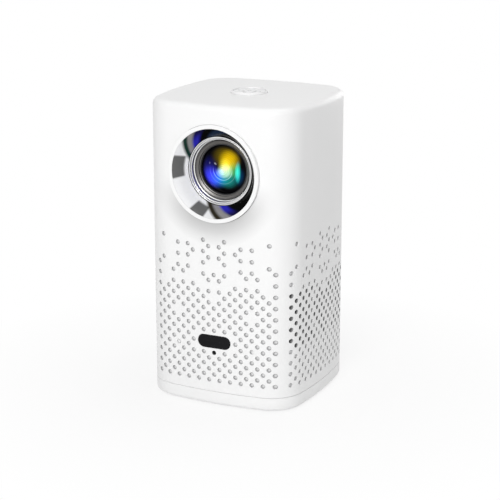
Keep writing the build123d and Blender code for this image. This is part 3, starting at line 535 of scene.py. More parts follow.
def backed_cells(face):
    """Cells with a fan post or the speaker's round seat right behind them, so not bored through."""
    if face == "back":
        return BOSS_CELLS
    if face != "right":
        return set()
    found = set()
    for column in range(COLUMNS):
        for row in OPEN_ROWS:
            across = (column - (COLUMNS - 1) / 2) * PITCH
            away = hypot(across, FIRST_ROW_Z + row * PITCH - SPEAKER_Z)
            if abs(away - SPEAKER_R + SPEAKER_RING / 2) < SPEAKER_RING / 2 + DIMPLE_R:
                found.add((column, row))
    return found


def row_edge(row):
    """Height of the lower edge of a row."""
    return FIELD_LOW + row * PITCH


def cells_of(face):
    """All the cells of a face's field, those with a dimple and those bored through."""
    rows = range(ROWS)
    if face == "back":
        rows = [row for row in rows if row < SLOT_ROWS[0] or row >= SOCKET_ROWS[1]]
    every = {(column, row) for column in range(COLUMNS) for row in rows}
    every -= SLOT_END_CELLS.get(face, set())
    marked = dimpled(face) & every
    if face == "front":
        return every, marked, {RECEIVER_CELL}
    if face == "back":
        marked = {cell for cell in marked if cell[1] > 0}
    return every, marked, {cell for cell in marked if cell[1] in OPEN_ROWS} - backed_cells(face)


def holed_field(skin, face):
    """Dimples, open holes and plain squares between them, and the skin inside."""
    every, marked, through = cells_of(face)
    blind, half = sorted(marked - through), PITCH / 2
    rim = [("square", half, 0, 0), ("circle", DIMPLE_R, 0, 0)]
    cells(skin, face, blind, [*rim, ("circle", DIMPLE_FLOOR_R, 0, DIMPLE_DEPTH)])
    dimple_floors(skin, face, blind)
    rings = [*rim, ("circle", DIMPLE_R - 0.06, 0.3, 0), ("circle", HOLE_INNER_R, WALL, 0)]
    cells(skin, face, sorted(through), [*rings, ("square", half, WALL, 0)])
    plain = every - marked - through - (PLATED if face == "front" else set())
    plain_cells(skin, face, sorted(plain), 0)
    plain_cells(skin, face, sorted(every - through), WALL)


def plain_parts(skin, face):
    """Plain stretches below and above a face's field, and the corner after it."""
    upper = np.linspace(FIELD_HIGH, TOP_EDGE_Z, 17)
    field = np.linspace(FIELD_LOW, FIELD_HIGH, ROWS * STEPS + 1)
    levels = [SEAM_Z, *field, *upper[1:]]
    low, high = row_edge(SLOT_ROWS[0]), row_edge(SLOT_ROWS[1])
    for inset in (0.0, WALL):
        panel(skin, face, [SEAM_Z, FIELD_LOW], inset)
        if face != "front":
            panel(skin, face, upper, inset)
        if face in ("right", "back"):
            corner_strip(skin, face, [z for z in levels if z < low + 0.01], inset)
            corner_strip(skin, face, [z for z in levels if z > high - 0.01], inset)
        else:
            corner_strip(skin, face, levels, inset)


def openings(skin):
    """The lens's round opening, the sockets' window and the seat of the pill-shaped plate."""
    hole = (LENS_HOLE_R, LENS_HOLE_R)
    window(skin, "front", FIELD_HIGH, TOP_EDGE_Z, 16, (0, LENS_Z), hole, LENS_HOLE_R, 8, True)
    low, high = row_edge(SOCKET_ROWS[0]), row_edge(SOCKET_ROWS[1])
    rows = round((high - low) / PITCH * STEPS)
    window(skin, "back", low, high, rows, (0, WINDOW_Z), WINDOW_HALF, WINDOW_R, 3, True)
    low, high = row_edge(PLATE_CELLS[1][0]), row_edge(PLATE_CELLS[1][-1] + 1)
    plate = (PLATE_LENGTH / 2 + GAP, PLATE_HEIGHT / 2 + GAP)
    rows = len(PLATE_CELLS[1]) * STEPS
    window(skin, "front", low, high, rows, (0, PLATE_Z), plate, plate[1], 1, False)


def case_shell():
    """White case with a skin outside and inside, dimples, open holes and its large openings."""
    skin = Skin()
    for face in ORDER:
        holed_field(skin, face)
        plain_parts(skin, face)
    openings(skin)
    slot_rims(skin)
    case_top(skin)
    loft(skin, [perimeter(SEAM_Z), perimeter(SEAM_Z, WALL)])
    shell = piece("case_shell", skin, "case", "white_shell", "housing")
    paint_dimple_shade(shell.data)


def paint_dimple_shade(mesh):
    """Stores how deep each point lies, which the case's finish turns into painted shade.

    It is 1 in a dimple, 0.1 in the middle of its floor, 2 in an open hole and 0 elsewhere."""
    points = np.empty(len(mesh.vertices) * 3, np.float32)
    mesh.vertices.foreach_get("co", points)
    x, y, z = np.abs(points.reshape(-1, 3).T.astype(float) / MM)
    field = (z > FIELD_LOW) & (z < FIELD_HIGH)
    deep = np.zeros(len(z))
    for face, across, reach in (("front", x, y), ("right", y, x)):
        sunk = wall(face, np.minimum(across, EDGE), 0) - reach
        inside = field & (across < EDGE) & (sunk > 0.2) & (sunk < DIMPLE_DEPTH + 0.2)
        column = across / PITCH
        row = (z - FIRST_ROW_Z) / PITCH
        away = np.hypot(column - np.round(column), row - np.round(row)) * PITCH
        deep = np.where(inside, np.where(away < DIMPLE_FLOOR_R / 2, 0.1, 1.0), deep)
        bored = field & (across < EDGE) & (sunk > 2) & (sunk < WALL + 0.5) & (away < DIMPLE_R)
        deep = np.where(bored, 2.0, deep)
    # This attribute drives the painted shade in the dimples and open holes.
    mesh.attributes.new("painted_hole_shade", "FLOAT", "POINT").data.foreach_set("value", deep)


def slot_line(z, inset):
    """Line along the tray slot: round one back corner, along the back and round the other.

    Outside it starts a quarter of a cell before the corner, inside a whole cell before it."""
    last = EDGE - PITCH + np.arange(STEPS + 1) * PITCH / STEPS
    if inset == 0:
        last[:-1] = EDGE - PITCH / STEPS
    parts = [
        place("right", last, z, inset)[:-1],
        corner("right", z, inset)[0][:-1],
        place("back", across_places(), z, inset)[:-1],
        corner("back", z, inset)[0][:-1],
        place("left", -last[::-1], z, inset),
    ]
    return np.concatenate(parts)


def slot_rims(skin):
    """Thickness of the wall round the tray slot."""
    low, high = row_edge(SLOT_ROWS[0]), row_edge(SLOT_ROWS[1])
    for z in (low, high):
        line = np.stack([slot_line(z, 0.0), slot_line(z, WALL)])
        skin.add(line, grid(2, line.shape[1]))
    steps = round((high - low) / PITCH * STEPS)
    heights = np.linspace(low, high, steps + 1)
    outside = EDGE - PITCH + np.arange(STEPS + 1) * PITCH / STEPS
    above = np.linspace(high, high + PITCH / 2, STEPS // 2 + 1)[:, None]
    for face, way in (("right", 1), ("left", -1)):
        ends = (outside[-2], 0.0), (outside[0], WALL)
        sides = np.stack([place(face, way * across, heights, inset) for across, inset in ends])
        skin.add(sides, grid(2, len(heights)))
        across = way * outside[None, :]
        for inset in (0.0, WALL):
            skin.add(place(face, across, above, inset), grid(len(above), STEPS + 1))
        skin.add(place(face, across[:, :-1], heights[:, None], 0.0), grid(len(heights), STEPS))


def case_top(skin):
    """Rounded upper edge, flat top, the pad's round hole and the ceiling below.

    The edge is a quarter circle: at the angle a the plan is drawn in by r (1 - cos a) and stands
    r sin a above the edge's start. Straight lines run from there to the hole."""
    edge = [
        drawn_in(perimeter(TOP_EDGE_Z + TOP_EDGE_R * sin(a)), TOP_EDGE_R * (1 - cos(a)))
        for a in np.linspace(0, pi / 2, 9)
    ]
    loft(skin, edge)
    loft(skin, [perimeter(TOP_EDGE_Z, WALL), perimeter(CEILING_Z, WALL)])
    hole = []
    for start in (edge[-1], perimeter(CEILING_Z, WALL)):
        flat = start[:, :2]
        end = flat / np.linalg.norm(flat, axis=1)[:, None] * PAD_HOLE_R
        step = np.linspace(0, 1, 5)[:, None, None]
        rings = flat + (end - flat) * step
        height = np.full((*rings.shape[:2], 1), start[0, 2])
        loft(skin, np.concatenate([rings, height], -1))
        hole.append(np.concatenate([rings[-1], height[-1]], -1))
    loft(skin, hole)


def hexagon_loop(loop, radius, z):
    """Six-sided loop with one point in the direction of each of the loop's points.

    At the angle a from the nearest side's middle it reaches radius cos 30 / cos a."""
    angle = np.arctan2(loop[:, 1], loop[:, 0])
    reach = radius * cos(pi / 6) / np.cos(angle % (pi / 3) - pi / 6)
    return np.stack([reach * np.cos(angle), reach * np.sin(angle), np.full(len(loop), z)], -1)


def foot_cover():
    """Foot: rounded lower edge, groove under the seam, lip inside and a boss for the bush.

    It is the case's plan drawn in by different amounts at different heights. The lower edge is a
    quarter circle: at the angle a it is drawn in by r (1 - sin a) and stands r (1 - cos a) up."""
    round_r = BASE_EDGE + 0.5
    turn = np.linspace(0, pi / 2, 7)
    low = FOOT_HEIGHT
    edge = [(round_r * (1 - sin(a)), low + round_r * (1 - cos(a))) for a in turn]
    groove_z = SEAM_Z - SEAM_GROOVE
    profile = [
        *edge,
        (0, groove_z - 0.3),
        (0.08, groove_z - 0.1),
        (0.3, groove_z),
        (GROOVE_DEPTH, groove_z),
        (GROOVE_DEPTH, SEAM_Z),
        (LIP_INSET, SEAM_Z),
        (LIP_INSET, LIP_TOP_Z),
        (BASE_WALL, LIP_TOP_Z),
        (BASE_WALL, FLOOR_Z),
    ]
    loops = [drawn_in(perimeter(z), inset) for inset, z in profile]
    start = loops[0]
    for radius, z in (
        (BUSH_BOSS_R, FLOOR_Z),
        (BUSH_BOSS_R, BUSH_TOP_Z),
        (BUSH_R, BUSH_TOP_Z),
        (BUSH_R, low),
    ):
        loops.append(hexagon_loop(start, radius, z))
    skin = Skin()
    loft(skin, [*loops, start])
    piece("foot_cover", skin, "case", "white_shell", "base_cover")


def rubber_feet():
    """Four low rubber discs with soft edges."""
    skin = Skin()
    disc = [(0.0, FOOT_HEIGHT), (FOOT_R, FOOT_HEIGHT), (FOOT_R, 0.35), (FOOT_R - 0.3, 0.1)]
    disc += [(FOOT_R - 0.7, 0.0), (0.0, 0.0)]
    for x in (FOOT_PLACE, -FOOT_PLACE):
        for y in (FOOT_PLACE, -FOOT_PLACE):
            loft(skin, turned(disc, 48, (x, y), upright=True))
    piece("foot_discs", skin, "case", "rubber_dark", "rubber_feet")


# ---------------------------------------------------------------- inside the case
def inner_posts():
    """Posts that screw the foot on, and the seats of fan, main board, speaker and key board."""
    skin = Skin()
    for x in (POST_X, -POST_X):
        for y in (POST_Y, -POST_Y):
            hollow_post(skin, POST_R, SCREW_R, FLOOR_Z - 0.5, POST_JOINT_Z - 0.05, (x, y))
            hollow_post(skin, POST_R, SCREW_R, POST_JOINT_Z, POST_TOP_Z, (x, y))
    for side in (1, -1):
        back = float(wall("back", FAN_HOLE, WALL / 2))
        front = -float(wall("front", BOARD_HOLES[0], WALL / 2))
        for rise in (1, -1):
            spot = (side * FAN_HOLE, FAN_Z + rise * FAN_HOLE)
            hollow_post(skin, BOSS_R, 0.9, FAN_BACK_Y, back, spot, upright=False)
            spot = (side * BOARD_HOLES[0], BOARD_MIDDLE_Z + rise * BOARD_HOLES[1])
            hollow_post(skin, BOSS_R, 0.9, front, BOARD_FRONT_Y, spot, upright=False)
        spot = (side * KEY_POST_X, 0)
        hollow_post(skin, BOSS_R, 0.9, KEY_BOARD_TOP_Z, CEILING_Z + 0.5, spot)
    end = float(wall("right", SPEAKER_R, WALL / 2))
    seat = rectangle(SPEAKER_R - SPEAKER_RING, SPEAKER_R, SPEAKER_FACE_X, end)
    loops = turned(soften(seat, 0.2, 2), 96, (0, SPEAKER_Z))[..., [1, 0, 2]]
    loft(skin, [*loops, loops[0]])
    piece("inner_posts", skin, "case", "white_shell")


def socket_insides():
    """Tongues and gilt contacts of the flat sockets, the jack's ring and the inlet's pin."""
    tongues, contacts = Skin(), Skin()
    for x, low, high, half, pitch, count in FLAT_SOCKETS:
        face = float(wall("back", x, 0)) - SOCKET_SINK
        nose, root = face - TONGUE_SINK, face - SOCKET_DEPTH
        prism(tongues, soften(rectangle(root, nose, low, high), 0.3, 2), x - half, x + half, 0)
        for spot in x + (np.arange(count) - (count - 1) / 2) * pitch:
            strip = pitch * 0.24
            outline = rectangle(spot - strip, spot + strip, high - 0.1, high + 0.08)
            prism(contacts, soften(outline, 0.04, 1), root + 1, nose - 0.5, 1)
    piece("socket_tongues", tongues, "case", "black_plastic")
    piece("socket_contacts", contacts, "case", "bright_rod", finish="gilt_contact")
    metal = Skin()
    face = float(wall("back", JACK_X, 0)) - SOCKET_SINK
    hollow_post(metal, JACK_R + 1.1, JACK_R, face - 0.6, face + 0.2, (JACK_X, JACK_Z), False, 48)
    face = float(wall("back", INLET_X, 0)) - SOCKET_SINK
    tip = face - 2.0
    pin = [(0, face - 10.5), (PIN_R, face - 10.5), (PIN_R, tip - 0.6)]
    pin += [(PIN_R - 0.15, tip - 0.2), (0.3, tip), (0, tip)]
    loft(metal, turned(pin, 24, (INLET_X, INLET_Z)))
    piece("jack_and_pin", metal, "case", "bright_rod")


def disc_seat():
    """Platter with a rubber ring, hub with three sprung catches, and the laser's small lens.

    The laser's lens is a dome: 0.12 r^2 below its top at radius r."""
    top = DISC_Z - 0.15
    rest = [(0, PLATTER_LOW_Z), (PLATTER_R - 0.5, PLATTER_LOW_Z), (PLATTER_R, PLATTER_LOW_Z + 0.4)]
    rest += [(PLATTER_R, top - 0.2), (PLATTER_R - 0.2, top), (HUB_R + 0.4, top), (HUB_R, top - 0.4)]
    hub = [(HUB_R, -0.9), (HUB_R - 0.9, 0), (3.4, 0), (3.1, -0.5), (1.3, -0.5)]
    hub += [(1.1, -0.1), (0, -0.1)]
    platter = rest + [(radius, HUB_TOP_Z + rise) for radius, rise in hub]
    skin = lathe(platter, 96, (0, 0), upright=True)
    piece("platter", skin, "spindle", "black_plastic", "turntable")
    band = (PLATTER_R - 0.6, HUB_R + 2.2, top - 0.1, DISC_Z)
    skin = hollow_post(Skin(), *band, (0, 0), around=96, edge=0.06)
    piece("platter_ring", skin, "spindle", "rubber_dark")
    skin = Skin()
    rise = np.linspace(-pi / 2, pi / 2, 9)
    ball = np.stack([CATCH_R * np.cos(rise), HUB_TOP_Z - 1.0 + CATCH_R * np.sin(rise)], -1)
    for third in range(3):
        turn = pi / 2 + third * 2 * pi / 3
        spot = ((HUB_R - 0.3) * cos(turn), (HUB_R - 0.3) * sin(turn))
        loft(skin, turned(ball, 16, spot, upright=True))
    piece("disc_catches", skin, "spindle", "bright_rod")
    low, high, spot = OBJECTIVE_LOW_Z, OBJECTIVE_TOP_Z, (0, OBJECTIVE_Y)
    band = (OBJECTIVE_R, LASER_LENS_R + 0.05, low, high - 0.3)
    skin = hollow_post(Skin(), *band, spot, around=48)
    piece("laser_lens_ring", skin, "sled", "black_plastic", "objective")
    dome = [(r, high - 0.1 - 0.12 * r**2) for r in np.linspace(0, LASER_LENS_R, 10)]
    skin = lathe([*dome, (LASER_LENS_R, low), (0, low)], 48, spot, upright=True)
    piece("laser_lens", skin, "sled", "coated_glass", finish="laser_glass")


# ---------------------------------------------------------------- the lens
def lens_pieces():
    """Rim, cone, mount, focus ring, cell and glass, turned about the lens's axis.

    The glass is a dome: with R its radius of curvature, its face lies R - sqrt(R^2 - r^2) behind
    its foremost point at radius r. The mount's flange is a square: in the direction a it reaches
    as far as its half size over the larger of |cos a| and |sin a|."""
    rim = [(RIM_INNER_R, RIM_Y), (RIM_R, RIM_Y), (RIM_R, CONE_BACK_Y)]
    rim += [(CONE_INNER_R + 1.2, CONE_BACK_Y), (RIM_INNER_R, RIM_Y + 2.2)]
    piece("lens_rim", ring(Skin(), soften(rim, 0.3)), "case", "white_shell", "lens_bezel")
    mouth = RIM_INNER_R - 0.05
    cone = [(CONE_INNER_R, CONE_BACK_Y), (mouth, RIM_Y + 0.35), (mouth, RIM_Y + 2.05)]
    cone.append((CONE_INNER_R + 1.0, CONE_BACK_Y))
    piece("lens_cone", ring(Skin(), soften(cone, 0.12)), "case", "polished_cone")
    web = MOUNT_BACK_Y - 3.0
    front = CONE_BACK_Y
    steps = ((0, 0), (0.75, 0), (1.0, 2.6), (1.6, 2.6), (1.75, 1.2), (2.3, 1.2), (2.5, 4.0))
    mount = [(LIP_R, web), *[(LIP_R - inset, front + sunk) for inset, sunk in steps]]
    mount += [(MOUNT_BORE_R, front + 4.6), (MOUNT_BORE_R, web)]
    skin = ring(Skin(), soften(mount, 0.14, 3))
    flange = np.array([(MOUNT_FLANGE, web), (MOUNT_FLANGE, MOUNT_BACK_Y)])
    angle = np.linspace(0, 2 * pi, 160, endpoint=False)
    square = 1 / np.maximum(np.abs(np.cos(angle)), np.abs(np.sin(angle)))
    loops = []
    for radius, y in ((CELL_R + 0.4, web), *flange, (CELL_R + 0.4, MOUNT_BACK_Y)):
        reach = radius * (square if radius == MOUNT_FLANGE else 1)
        x, z = reach * np.cos(angle), LENS_Z + reach * np.sin(angle)
        loops.append(np.stack([x, np.full(len(angle), y), z], -1))
    loft(skin, [*loops, loops[0]])
    piece("lens_mount_turned", skin, "case", "bright_lip", "lens_mount")
    inner = RING_FRONT_Y + RING_BEVEL
    focus = [(RING_R, RING_BACK_Y), (RING_R, RING_FRONT_Y), (RING_R - 0.45, RING_FRONT_Y)]
    focus += [(RING_R - 0.7, RING_FRONT_Y + 0.4), (RING_BORE_R + 0.75, inner - 0.35)]
    focus += [(RING_BORE_R + 0.65, inner + 0.9), (RING_BORE_R, inner + 1.1)]
    focus.append((RING_BORE_R, RING_BACK_Y))
    skin = ring(Skin(), soften(focus, 0.1, 3))
    piece("focus_ring_turned", skin, "focus", "satin_ring", "focus_ring")
    cell = rectangle(CELL_BORE_R, CELL_R, CELL_FRONT_Y, CELL_BACK_Y)
    skin = ring(Skin(), soften(cell, 0.1, 2))
    piece("lens_barrel", skin, "lens", "black_plastic", "lens_cell")
    radius = np.linspace(0, GLASS_R - 0.25, 24)
    dome = GLASS_APEX_Y + GLASS_DOME_R - np.sqrt(GLASS_DOME_R**2 - radius**2)
    edge = [(GLASS_R, dome[-1] + 0.25), (GLASS_R, GLASS_BACK_Y), (0.0, GLASS_BACK_Y)]
    skin = lathe([*zip(radius, dome), *edge])
    piece("front_element", skin, "lens", "coated_glass", "front_glass")


def front_plate():
    """Black pill-shaped plate that follows the front wall, with softly rounded edges.

    Its outline is two half circles: at the angle a, x is the plate's straight half length with the
    sign of cos a, plus the radius times cos a, and z is the radius times sin a."""
    reach = (PLATE_LENGTH - PLATE_HEIGHT) / 2
    radius = PLATE_HEIGHT / 2
    angle = np.linspace(0, 2 * pi, 96, endpoint=False) + pi / 96
    middle = reach * np.sign(np.cos(angle))
    skin = Skin()
    loops = []
    steps = ((0, PLATE_RECESS), (0, -0.05), (0.1, -0.2), (0.3, -0.28), (0.6, -PLATE_PROUD))
    for inset, sunk in (*steps, (2.5, -PLATE_PROUD), (radius - 0.05, -PLATE_PROUD)):
        x = middle + (radius - inset) * np.cos(angle)
        z = PLATE_Z + (radius - inset) * np.sin(angle)
        loops.append(place("front", x, z, 0, sunk))
    loft(skin, loops)
    for end in (loops[0], loops[-1]):
        inner = np.arange(len(end) // 2)
        rows = np.roll(end, len(end) // 4, 0)
        one, last = inner[:-1], len(end) - 1
        skin.add(rows, np.stack([one, one + 1, last - 1 - one, last - one], 1))
    piece("bare_plate", skin, "case", "black_gloss", "front_plate")


# ---------------------------------------------------------------- key pad
def key_pad():
    """Rim, round middle key with a shallow dish, four ring keys, and the signs on them."""
    rim = soften(rectangle(PAD_R - PAD_WALL, PAD_R, PAD_LOW_Z, PAD_TOP_Z), 0.45)
    skin = ring(Skin(), rim, 96, (0, 0), True)
    piece("pad_rim", skin, "case", "white_shell", "pad_ring")
    top = POWER_TOP_Z
    radius = np.linspace(0, POWER_R - 0.6, 8)
    dish = [(r, top - 0.35 * (1 - (r / POWER_R) ** 2)) for r in radius]
    edge = [(POWER_R - 0.25, top - 0.05), (POWER_R - 0.05, top - 0.2), (POWER_R, top - 0.5)]
    edge += [(POWER_R, top - KEY_THICK), (0, top - KEY_THICK)]
    skin = lathe(dish + edge, 64, (0, 0), upright=True)
    piece("power_cap", skin, "key_power", "white_keys", "power_key")
    for turn, name in enumerate(("back", "left", "front", "right")):
        skin = quarter_key(turn * pi / 2)
        piece(name + "_cap", skin, f"key_{name}", "white_keys", f"{name}_key")
        key_sign(name, turn * pi / 2)
    power_sign()


def quarter_key(turn):
    """Quarter ring: a rounded section carried from one slit to the next.

    At radius r it ends arcsin(slit / r) before an eighth of a turn, so the slit is even."""
    outline = rectangle(KEY_INNER_R, KEY_OUTER_R, KEY_TOP_Z - KEY_THICK, KEY_TOP_Z)
    section = soften(outline, 0.4, 3)
    end = pi / 4 - np.arcsin(KEY_SLIT / section[:, 0])
    skin = Skin()
    carry(skin, section, pi / 2 + turn + np.linspace(-1, 1, 25)[:, None] * end)
    return skin


def key_sign(name, turn):
    """Small raised arrowhead on a ring key, pointing away from the middle."""
    outline = np.array([(-1.5, 9.3), (0.0, 11.0), (1.5, 9.3), (1.1, 9.0), (0.0, 10.2), (-1.1, 9.0)])
    x = outline[:, 0] * cos(turn) - outline[:, 1] * sin(turn)
    y = outline[:, 0] * sin(turn) + outline[:, 1] * cos(turn)
    skin = Skin()
    halves = [[0, 1, 4, 5]], [[1, 2, 3, 4]]
    prism(skin, np.stack([x, y], -1), KEY_TOP_Z - 0.1, KEY_TOP_Z + 0.04, 2, *halves)
    piece(name + "_sign", skin, f"key_{name}", "white_keys", finish="grey_print")


def power_sign():
    """Open ring with a short bar, a common sign for switching on."""
    level = POWER_TOP_Z - 0.3
    low, high = level - 0.1, level + 0.05
    skin = Skin()
    angle = np.linspace(radians(125), radians(415), 33)[:, None]
    carry(skin, rectangle(1.35, 1.65, low, high), angle)
    prism(skin, rectangle(-0.15, 0.15, 0.7, 2.0), low, high, 2)
    piece("power_sign", skin, "key_power", "white_keys", finish="grey_print")


# ---------------------------------------------------------------- finishes
class Tree:
    """The nodes of a material or world, with short ways to add one and join it to others."""

    def __init__(self, owner):
        owner.use_nodes = True
        self.nodes, self.links = owner.node_tree.nodes, owner.node_tree.links

    def feed(self, socket, value):
        if isinstance(value, bpy.types.NodeSocket):
            self.links.new(value, socket)
        else:
            socket.default_value = value

    def add(self, kind, settings, inputs, output=0):
        """New node with its settings, its inputs linked or set; gives back one of its outputs."""
        node = self.nodes.new("ShaderNode" + kind)
        for name, value in settings.items():
            setattr(node, name, value)
        for name, value in inputs.items():
            self.feed(node.inputs[name], value)
        return node.outputs[output]

    def shade(self, **inputs):
        """Sets or links inputs of the material's own shader."""
        for name, value in inputs.items():
            self.feed(self.nodes["Principled BSDF"].inputs[name.replace("_", " ")], value)

    def spread(self, value, low, high, to_low=0.0, to_high=1.0, way="SMOOTHSTEP"):
        """Carries the range low to high over to another range, and holds it beyond the ends."""
        ends = {"From Min": low, "From Max": high, "To Min": to_low, "To Max": to_high}
        return self.add("MapRange", {"interpolation_type": way}, {"Value": value, **ends})

    def maths(self, operation, *values):
        return self.add("Math", {"operation": operation}, dict(enumerate(values)))

    def mix(self, factor, first, second, way="MIX"):
        settings = {"data_type": "RGBA", "blend_type": way}
        return self.add("Mix", settings, {"Factor": factor, "A": first, "B": second}, "Result")

    def ramp(self, value, stops):
        """Colours (red, green, blue, cover) at places from 0 to 1, blended evenly between them."""
        node = self.nodes.new("ShaderNodeValToRGB")
        elements = node.color_ramp.elements
        elements.remove(elements[1])
        elements[0].position, elements[0].color = stops[0]
        for spot, colour in stops[1:]:
            elements.new(spot).color = colour
        self.feed(node.inputs["Fac"], value)
        return node.outputs

    def own_place(self):
        return self.add("TexCoord", {}, {}, "Object")


def finish(name, colour, roughness, metallic=0.0, spread=0.02, grain=900.0, depth=0.02, **sockets):
    """Colour that varies a little, uneven gloss and a fine grain, all from noise in the piece."""
    material = bpy.data.materials.new(name + "_finish")
    tree = Tree(material)
    spot = tree.own_place()
    broad = tree.add("TexNoise", {}, {"Vector": spot, "Scale": 35.0, "Detail": 4.0})
    fine = tree.add("TexNoise", {}, {"Vector": spot, "Scale": grain, "Detail": 3.0})
    levels = (1 - spread, 1 + spread)
    dull, bright = ((*(min(part * level, 1.0) for part in colour), 1) for level in levels)
    height = {"Strength": 0.25, "Distance": depth * MM, "Height": fine}
    tree.shade(
        Base_Color=tree.ramp(broad, [(0.3, dull), (0.7, bright)])["Color"],
        Roughness=tree.spread(broad, 0, 1, roughness * 0.88, roughness * 1.12, "LINEAR"),
        Normal=tree.add("Bump", {}, height, "Normal"),
        Metallic=metallic,
        **sockets,
    )
    return material


def from_lens(tree):
    """Distance from the lens's axis, and the place seen from there: right, up and to the front."""
    upright = {"Rotation": (radians(-90), 0, 0), "Location": (0, -LENS_Z * MM, 0)}
    centred = tree.add("Mapping", {}, {"Vector": tree.own_place(), **upright})
    flat = tree.add("Mapping", {}, {"Vector": centred, "Scale": (1, 1, 0)})
    return tree.add("VectorMath", {"operation": "LENGTH"}, {0: flat}, "Value"), centred


def white_shell():
    """Satin white moulding with painted shade, grey in the dimples and darkest in the open holes.
    """
    material = finish("white_shell", (0.87, 0.87, 0.87), 0.38, spread=0.006, depth=0.01)
    tree = Tree(material)
    painted_hole_shade = tree.add("Attribute", {"attribute_name": "painted_hole_shade"}, {}, "Fac")
    plain = tree.nodes["Principled BSDF"].inputs["Base Color"].links[0].from_socket
    # Painted shade: grey in the dimples, lighter in the middle of their floors, near black in the
    # open holes.
    dimple = tree.mix(painted_hole_shade, plain, (0.38, 0.38, 0.385, 1))
    bored = tree.spread(painted_hole_shade, 1.0, 1.5, way="LINEAR")
    colour = tree.mix(bored, dimple, (0.15, 0.15, 0.15, 1))
    # Painted shadow below the lens rim, mixed towards near black.
    tree.shade(Base_Color=tree.mix(painted_rim_shadow(tree), colour, (0.03, 0.03, 0.03, 1)))
    return material


def painted_rim_shadow(tree):
    """Painted soft shadow on the front below the proud rim of the lens.

    It is 0.5 at the rim and falls to nothing at 1.5 times the rim's radius. It is whole straight
    below the lens, weaker to the sides, and nothing beside and above it."""
    radius, turned_place = from_lens(tree)
    place = tree.nodes.new("ShaderNodeSeparateXYZ")
    tree.feed(place.inputs[0], turned_place)
    fall = tree.spread(radius, RIM_R * MM, RIM_R * 1.5 * MM, way="LINEAR")
    levels = (0.0, 0.5), (0.06, 0.4), (0.2, 0.35), (0.4, 0.27), (0.6, 0.16), (1.0, 0.0)
    shade = tree.ramp(fall, [(spot, (level, level, level, 1)) for spot, level in levels])["Color"]
    below = tree.maths("DIVIDE", tree.maths("MULTIPLY", place.outputs["Y"], -1.0), radius)
    parts = [
        tree.spread(below, 0.05, 1.0),
        tree.spread(place.outputs["Z"], 0.055, 0.06),
        tree.spread(radius, (RIM_R - 0.1) * MM, RIM_R * MM),
    ]
    for part in parts:
        shade = tree.maths("MULTIPLY", shade, part)
    return shade


def polished_cone():
    """Polished metal whose reflections of the room are painted into its colour as patches, some
    slanting inwards.

    turn is the angle round the lens as a share of a turn, 0.5 to the right. inwards is 0 at the
    rim and 1 at the lip. The slanting patches are looked up at turn less SLANT times inwards above
    the lens's middle, and at turn plus SLANT times inwards below it."""
    material = finish("polished_cone", (1.0, 1.0, 1.0), 0.16, spread=0.01, depth=0.001)
    tree = Tree(material)
    radius, centred = from_lens(tree)
    turn = tree.add("TexGradient", {"gradient_type": "RADIAL"}, {"Vector": centred}, "Fac")
    inwards = tree.spread(radius, RIM_INNER_R * MM, CONE_INNER_R * MM, way="LINEAR")
    half = tree.maths("SIGN", tree.maths("SUBTRACT", turn, 0.5))
    lag = tree.maths("MULTIPLY", tree.maths("MULTIPLY", inwards, SLANT), half)
    slanted = tree.maths("SUBTRACT", turn, lag)
    # Colours of the painted reflections on the cone.
    white, grey = (1.0, 1.0, 1.0, 1), (0.15, 0.15, 0.148, 1)
    olive, pale, green = (0.03, 0.025, 0.015, 1), (0.3, 0.29, 0.29, 1), (0.012, 0.04, 0.03, 1)
    indigo, navy, black = (0.03, 0.028, 0.5, 1), (0.012, 0.025, 0.06, 1), (0.004, 0.004, 0.004, 1)
    squares = ((-180, grey), (-169, white), (-125, grey), (-104, white), (160, grey))
    stops = [(0.0, grey)]
    for (_, before), (angle, after) in zip(squares, squares[1:]):
        stops += [((angle - 1) / 360 + 0.5, before), ((angle + 1) / 360 + 0.5, after)]
    square = tree.ramp(turn, stops)["Color"]
    square = tree.mix(tree.spread(inwards, 0.66, 0.86), square, white)
    streaks = (
        (-90, (*olive[:3], 0)), (-84, olive), (-79, olive), (-73, pale), (-66, pale), (-60, indigo),
        (-53, indigo), (-46, black), (62, black), (70, navy), (80, navy), (88, black), (98, black),
        (105, indigo), (113, indigo), (119, pale), (125, pale), (129, green), (134, green),
        (140, (*green[:3], 0)),
    )
    near = tree.ramp(slanted, [(angle / 360 + 0.5, colour) for angle, colour in streaks])
    dim = (0.012, 0.01, 0.07, 1)
    outer = [(angle / 360 + 0.5, dim if colour == indigo else colour) for angle, colour in streaks]
    far = tree.ramp(slanted, outer)
    streak = tree.mix(tree.spread(inwards, 0.15, 0.8), far["Color"], near["Color"])
    colour = tree.mix(near["Alpha"], square, streak)
    tree.shade(Base_Color=colour, Specular_IOR_Level=colour)
    return material


